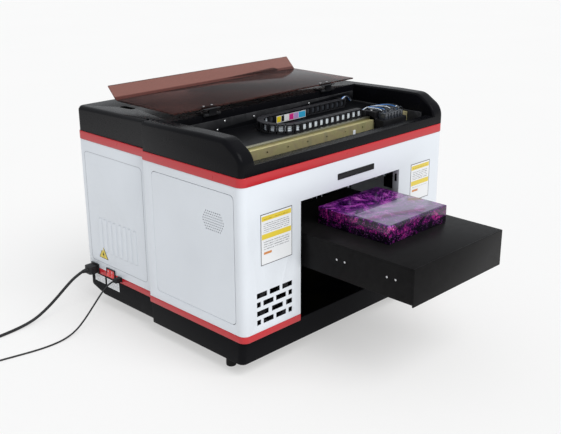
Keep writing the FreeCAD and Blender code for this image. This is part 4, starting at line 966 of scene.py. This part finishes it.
class PRINTER_OT_cords(Maker, bpy.types.Operator):
    """Mains lead and data lead, each with its plugs and its stored length"""

    bl_idname = "printer.cords"
    bl_label = "Cords"

    def execute(self, context):
        mains_route = [(-0.351, 0.391, 0.092), (-0.372, 0.391, 0.085), (-0.398, 0.391, 0.068),
                       (-0.424, 0.392, 0.048), (-0.452, 0.394, 0.028), (-0.484, 0.396, 0.011),
                       (-0.520, 0.396, 0.004), (-0.560, 0.391, 0.0035), (-0.602, 0.389, 0.0035),
                       (-0.642, 0.394, 0.0035), (-0.671, 0.398, 0.0035), (-0.692, 0.3993, 0.0035)]
        usb_route = [(-0.334, 0.291, 0.091), (-0.346, 0.291, 0.0885), (-0.362, 0.290, 0.078),
                     (-0.380, 0.288, 0.063), (-0.400, 0.286, 0.045), (-0.423, 0.283, 0.026),
                     (-0.449, 0.279, 0.010), (-0.480, 0.274, 0.003), (-0.514, 0.271, 0.002),
                     (-0.550, 0.273, 0.002), (-0.588, 0.280, 0.002), (-0.626, 0.288, 0.002),
                     (-0.662, 0.2935, 0.002), (-0.690, 0.2953, 0.002), (-0.706, 0.2956, 0.002)]
        for name, route, centre, mean, diameter, parts, far in (
                ("mains", mains_route, (-0.710, 0.445), 0.0385, self.looks.mains_diameter,
                 ("mains_connector", "mains_wall_plug"), "plug"),
                ("usb", usb_route, (-0.721, 0.322), 0.022, self.looks.data_diameter,
                 ("usb_plug", "usb_far_plug"), "connector")):
            radius = diameter / 2
            line_x = centre[0] - mean - diameter
            exit_y = corners(parts[1])[0].y
            points = route + coil_points(centre, mean, radius, 1)
            points += [(line_x, centre[1] + 0.004, 3 * radius), (line_x, exit_y + 0.006, 3 * radius)]
            cord = round_line(f"{name}_lead", points, radius, 3, 8)
            cord.data.materials.append(finish_of("cord_rubber"))
            near, end = (skin(node, "casing", "cord_rubber", 0.0006, steps=3) for node in parts)
            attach(cord, "casing")
            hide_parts(f"{name}_cord", f"{name}_coil")
            low = Vector((centre[0] + mean - diameter * 1.75, centre[1] - 0.004, 0.0))
            tie = slab(f"{name}_tie", low, low + Vector((diameter * 3.5, 0.008, diameter * 2.2)))
            complete(soften(hollowed(tie, "y", diameter * 0.12), 0.0003), "casing", "cord_rubber")
            length = line_length(cord)
            print(name, "lead", round(length, 4))
        return {"FINISHED"}


# ---------------------------------------------------------------- gantry, carriage and chain

class PRINTER_OT_gantry(Maker, bpy.types.Operator):
    """Plated beam, guide rail, belt and pulleys"""

    bl_idname = "printer.gantry"
    bl_label = "Gantry"

    def execute(self, context):
        beam = refined("gantry_beam", 0.0008)
        low, high = corners("gantry_beam")
        drills, first, pitch = [], -0.245, 0.06
        for number in range(9):
            x = first + number * pitch
            for axis, spot, radius in (("y", (x, low.y - 0.001, high.z - 0.011), 0.0022),
                                       ("z", (x + 0.022, low.y + 0.004, high.z - 0.003), 0.0016)):
                drills.append(turned("drill", axis, spot, [(0, radius), (0.006, radius)], 12))
        complete(carve(beam, *drills), "casing", "yellow_zinc", None, ("gantry_beam",))
        skin("x_guide_rail", "casing", "ground_steel", 0.0008, "rail_steel")
        skin("x_belt", "casing", "belt_rubber", 0.0003)
        skin("x_motor", "casing", "motor_black", 0.0012)
        for node, body in (("x_drive_pulley", "drive_pulley"), ("x_idler_pulley", "idler_pulley")):
            skin(node, body, "pulley_aluminium", 0.0004)
        tab = slab("beam_flag", at_front(81, 70.4, 419), at_front(89, 71.6, 438))
        with editing(tab, lambda face: face.normal.z < -0.9):
            bpy.ops.mesh.extrude_region_move(TRANSFORM_OT_translate={"value": (0.002, -0.003, -0.004)})
            bpy.ops.transform.resize(value=(0.6, 1, 1), center_override=tuple(at_front(87, 68, 415)))
        complete(soften(outward(tab), 0.0004), "casing", "white_enamel")
        skin("side_frames", "casing", "black_steel", 0.0007)
        skin("chain_shelf", "casing", "black_steel", 0.0005)
        return {"FINISHED"}


class PRINTER_OT_carriage(Maker, bpy.types.Operator):
    """Carriage with its head, lamp, dampers and ink tubes"""

    bl_idname = "printer.carriage"
    bl_label = "Carriage"

    def execute(self, context):
        skin("carriage", "carriage", "carriage_plastic", 0.0016, steps=3)
        skin("print_head", "carriage", "head_steel", 0.0006)
        skin("uv_lamp", "carriage", "lamp_aluminium", 0.0010)
        skin("ink_dampers", "carriage", "damper_plastic", 0.0005)
        low, high = corners("carriage")
        top = high.z
        heads = [screw("head", "z", (low.x + x, FRONT.y + 0.088, top), 0.0028) for x in (0.014, 0.07)]
        complete(joined("carriage_screws", *heads), "carriage", "ground_steel", "screw_steel")
        tints = ("tube_white", "tube_blue", "tube_dark", "tube_white", "tube_dark", "tube_blue", "tube_dark")
        for number, tint in enumerate(tints):
            side = number % 2
            x = low.x - 0.002
            drop = 0.0018 * number
            end_x = low.x + 0.020 + number * 0.0105
            points = [(x, FRONT.y + 0.1105, top - 0.010 + 0.001 * side),
                      (x + 0.012, FRONT.y + 0.1105 + 0.0006 * number, top - 0.002),
                      (x + 0.026 + drop, FRONT.y + 0.108, top + 0.0034),
                      (end_x, FRONT.y + 0.098, top + 0.0036), (end_x + 0.006, FRONT.y + 0.080, top + 0.0034),
                      (end_x + 0.006, FRONT.y + 0.066, top + 0.0016),
                      (end_x + 0.003, FRONT.y + 0.060, top - 0.006)]
            complete(tube(f"carriage_tube_{number}", points, 0.0010), "carriage", "damper_plastic", tint)
        for number in range(4):
            y = FRONT.y + 0.060 + number * 0.011
            points = [(high.x - 0.016, y, top - 0.004), (high.x - 0.004, y, top + 0.0032),
                      (high.x + 0.008, y + 0.002, top - 0.001), (high.x + 0.012, y + 0.003, top - 0.016),
                      (high.x + 0.006, y + 0.003, top - 0.034), (high.x - 0.002, y + 0.002, top - 0.040)]
            complete(tube(f"side_tube_{number}", points, 0.0011), "carriage", "damper_plastic",
                     "tube_white" if number == 1 else "tube_dark")
        end = corners("chain_rear_run")[1]
        for number, tint in enumerate(("tube_blue", "tube_white", "tube_dark")):
            x, y, z = end.x - 0.006, end.y - 0.006 - 0.003 * number, end.z + 0.0012
            points = [(x, y, z - 0.004), (x + 0.006, y, z),
                      (x + 0.016, y + 0.001, z + 0.002 + 0.001 * number),
                      (x + 0.030, y + 0.003, z - 0.001), (x + 0.040, y + 0.004, z - 0.012)]
            complete(tube(f"feed_tube_{number}", points, 0.0011), "casing", "damper_plastic", tint)
        return {"FINISHED"}


LINK_WALL, LINK_GAP, BEND_GAP = 0.0032, 0.0011, 0.0008


def chain_link(length, depth, height):
    """One open link: a block hollowed crosswise."""
    link = slab("link", (-length / 2, -depth / 2, 0), (length / 2, depth / 2, height))
    return soften(hollowed(link, "y", LINK_WALL), 0.0007, 1)


class PRINTER_OT_chain(Maker, bpy.types.Operator):
    """Drag chain links with the light tubes inside them"""

    bl_idname = "printer.chain"
    bl_label = "Drag chain"

    def execute(self, context):
        pitch = self.looks.link_pitch
        for a_end in ("front", "rear"):
            low, high = corners(f"chain_{a_end}_run")
            size = high - low
            count = max(1, round(size.x / pitch))
            step = size.x / count
            y = (low.y + high.y) / 2
            model = chain_link(step - LINK_GAP, size.y, size.z)
            links = [copied(model, (low.x + step * (number + 0.5), y, low.z)) for number in range(count)]
            bpy.data.objects.remove(model)
            inner = slab("bundle", (low.x + 0.002, y - 0.0045, low.z + 0.0045),
                         (high.x - 0.002, y + 0.0045, high.z - 0.0045), 0.001, 2)
            with editing(inner, lambda edge: abs(edge.verts[0].co.x - edge.verts[1].co.x) > 0.05, "EDGE"):
                bpy.ops.mesh.subdivide(number_cuts=count)
            run = joined(f"{a_end}_run_links", *links)
            complete(run, None, "chain_nylon", None, (f"chain_{a_end}_run",))
            # Painted shade: the rear run's tube bundle takes the dark grey tube finish, while the same bundle
            # is white in the front run and in the bend.
            complete(inner, None, "damper_plastic", "tube_white" if a_end == "front" else "tube_dark")
            inner.name = f"{a_end}_run_tubes"
            start, end = (2 * low.x - high.x, y, low.z), (high.x, y, low.z)
            if a_end == "rear":
                start, end = end, start
            for piece in (run, inner):
                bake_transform(piece)
        low, high = corners("chain_bend")
        depth = corners("chain_front_run")[1].y - corners("chain_front_run")[0].y
        reach = (high.y - low.y) / 2
        mean = reach - depth / 2
        centre = Vector((high.x, (low.y + high.y) / 2, low.z))
        count = round(math.pi * mean / pitch)
        model = chain_link(math.pi * mean / count - BEND_GAP, depth, high.z - low.z)
        links = []
        for number in range(count):
            angle = math.pi * (number + 0.5) / count
            spot = centre + Vector((-math.sin(angle) * mean, -math.cos(angle) * mean, 0))
            links.append(copied(model, spot, turn=math.pi - angle))
        bpy.data.objects.remove(model)
        complete(joined("bend_links", *links), "chain_bend", "chain_nylon", None, ("chain_bend",))
        turns = [math.pi * number / 16 for number in range(17)]
        ring = [centre + Vector((-math.sin(turn) * mean, -math.cos(turn) * mean, 0.0105)) for turn in turns]
        for number, lift in enumerate((-0.0042, 0.0, 0.0042)):
            hose = tube(f"bend_tube_{number}", [spot + Vector((0, 0, lift)) for spot in ring], 0.0030)
            complete(hose, "chain_bend", "damper_plastic", "tube_white")
        return {"FINISHED"}


# ---------------------------------------------------------------- lift, bed and insides

class PRINTER_OT_bed(Maker, bpy.types.Operator):
    """Black bed with its screws, and the printed block that lies on it"""

    bl_idname = "printer.bed"
    bl_label = "Bed and workpiece"

    def execute(self, context):
        for node in ("bed_plate", "bed_side_plates", "bed_front_plate"):
            skin(node, "bed", "bed_black", 0.0006)
        skin("bed_bearings", "bed", "lift_aluminium", 0.0008)
        low, high = corners("bed_front_plate")
        radius = self.looks.screw_radius
        heads, first, pitch, pair = [], 0.043, 0.127, 0.021
        for number in range(4):
            for shift in (0, pair):
                y = low.y + first + number * pitch + shift
                if y > corners("bed_plate")[1].y - 0.005:
                    continue
                for axis, x in (("-x", low.x), ("x", high.x)):
                    heads.append(screw("head", axis, (x, y, high.z - 0.033), radius, 0.0013))
        complete(joined("bed_side_screws", *heads), "bed", "ground_steel", "screw_steel", ("bed_screws",))
        profile = [(0, 0.0022), (0.0015, 0.0022), (0.0016, 0.0032), (0.0042, 0.0032), (0.005, 0.0026)]
        knob = turned("bed_thumb_knob", "x", (high.x, low.y + 0.008, high.z - 0.062), profile, 16)
        complete(knob, "bed", "bed_black")
        skin("sample_block", "bed", "printed_acrylic", 0.0012, steps=3)
        return {"FINISHED"}


class PRINTER_OT_insides(Maker, bpy.types.Operator):
    """Lift, screws, motors, fan, bottles and boards"""

    bl_idname = "printer.insides"
    bl_label = "Insides"

    def execute(self, context):
        for node, body, finish, width in (
                ("lift_frame", "lift", "lift_aluminium", 0.0008), ("y_rails", "lift", "ground_steel", 0.0008),
                ("y_motor", "lift", "motor_black", 0.0012), ("z_motor", "casing", "motor_black", 0.0012),
                ("z_guide_rods", "casing", "ground_steel", 0.0006),
                ("y_screw", "y_screw", "ground_steel", 0.0006),
                ("z_screw", "z_screw", "ground_steel", 0.0006),
                ("fan_frame", "casing", "carriage_plastic", 0.0006),
                ("fan_rotor", "fan", "carriage_plastic", 0.0003),
                ("capping_station", "casing", "carriage_plastic", 0.0012),
                ("power_supply", "casing", "supply_case", 0.0006),
                ("main_board", "casing", "board_green", 0.0002)):
            skin(node, body, finish, width)
        low = corners("ink_bottles")[0]
        tints = [(0.75, 0.55, 0.02), (0.6, 0.02, 0.2), (0.02, 0.3, 0.6), (0.015, 0.015, 0.015),
                 (0.8, 0.8, 0.8), (0.7, 0.7, 0.72)]
        bottles = refined("ink_bottles", 0.0025, 3)
        bottles.data.materials.clear()
        for number, tint in enumerate(tints):
            bottles.data.materials.append(milky(f"bottle {number}", tint))
        pitch = 0.032
        for face in bottles.data.polygons:
            face.material_index = min(5, max(0, int((face.center.y - low.y) / pitch)))
        complete(bottles, "casing", "bottle_plastic", False, ("ink_bottles",))
        return {"FINISHED"}


# ---------------------------------------------------------------- stage

ROOM_TINT, ROOM_STRENGTH = (0.94, 0.97, 1.0, 1.0), 0.62
KEY_DIRECTION, KEY_WIDTH = (0.0, -0.62, 0.785), 45
CAMERA_PLACE = (-1.3926, -1.3141, 0.9024)
CAMERA_ANGLES = (45.08, 19.18, -0.31)  # azimuth, elevation and roll
LENS, SENSOR_WIDTH = 56.65, 36.0


def soft_sun(name, towards, strength, width):
    """Even light from a wide patch of sky in one direction."""
    lamp = bpy.data.lights.new(name, "SUN")
    lamp.energy = strength
    lamp.angle = math.radians(width)
    item = bpy.data.objects.new(name, lamp)
    item.rotation_euler = (-Vector(towards)).to_track_quat("-Z", "Y").to_euler()
    bpy.context.collection.objects.link(item)


class PRINTER_OT_stage(Maker, bpy.types.Operator):
    """Pale floor, soft lights and the camera"""

    bl_idname = "printer.stage"
    bl_label = "Stage"

    def execute(self, context):
        scene = bpy.context.scene
        clear()
        bpy.ops.mesh.primitive_plane_add(size=60, location=(0, 0, 0))
        floor = named("studio_floor")
        floor.data.materials.append(pale_floor(self.looks))
        world = bpy.data.worlds.new("pale room")
        scene.world = world
        world.use_nodes = True
        background = world.node_tree.nodes["Background"].inputs
        background["Color"].default_value = ROOM_TINT
        background["Strength"].default_value = ROOM_STRENGTH
        soft_sun("key", KEY_DIRECTION, self.looks.key_power, KEY_WIDTH)
        view = bpy.data.cameras.new("camera")
        view.lens, view.sensor_width = LENS, SENSOR_WIDTH
        camera = bpy.data.objects.new("camera", view)
        azimuth, elevation, roll = (math.radians(angle) for angle in CAMERA_ANGLES)
        way = Vector((math.sin(azimuth) * math.cos(elevation), math.cos(azimuth) * math.cos(elevation),
                      -math.sin(elevation)))
        camera.rotation_mode = "QUATERNION"
        camera.rotation_quaternion = (way.to_track_quat("-Z", "Y").to_matrix().to_4x4()
                                      @ Matrix.Rotation(roll, 4, "Z")).to_quaternion()
        camera.location = CAMERA_PLACE
        bpy.context.collection.objects.link(camera)
        scene.camera = camera
        scene.view_settings.view_transform = "Standard"
        return {"FINISHED"}


# ---------------------------------------------------------------- panel and running

MAKERS = (PRINTER_OT_stage, PRINTER_OT_cords, PRINTER_OT_panels, PRINTER_OT_louvres, PRINTER_OT_trims,
          PRINTER_OT_base, PRINTER_OT_cover, PRINTER_OT_lid, PRINTER_OT_labels, PRINTER_OT_fittings,
          PRINTER_OT_gantry, PRINTER_OT_carriage, PRINTER_OT_chain, PRINTER_OT_bed, PRINTER_OT_insides)


class PRINTER_PT_pieces(bpy.types.Panel):
    """Lists the settings and the pieces"""

    bl_idname = "PRINTER_PT_pieces"
    bl_label = "Flatbed printer"
    bl_space_type = "VIEW_3D"
    bl_region_type = "UI"
    bl_category = "Printer"

    def draw(self, context):
        looks = context.scene.printer_looks
        for key in PrinterLooks.__annotations__:
            self.layout.prop(looks, key)
        for maker in MAKERS:
            self.layout.operator(maker.bl_idname)


CLASSES = (PrinterLooks, *MAKERS, PRINTER_PT_pieces)


def register():
    for kind in CLASSES:
        bpy.utils.register_class(kind)
    bpy.types.Scene.printer_looks = bpy.props.PointerProperty(type=PrinterLooks)


def unregister():
    del bpy.types.Scene.printer_looks
    for kind in reversed(CLASSES):
        bpy.utils.unregister_class(kind)


def main():
    """Makes every piece in order."""
    register()
    for maker in MAKERS:
        group, name = maker.bl_idname.split(".")
        getattr(getattr(bpy.ops, group), name)()


if __name__ == "__main__":
    main()
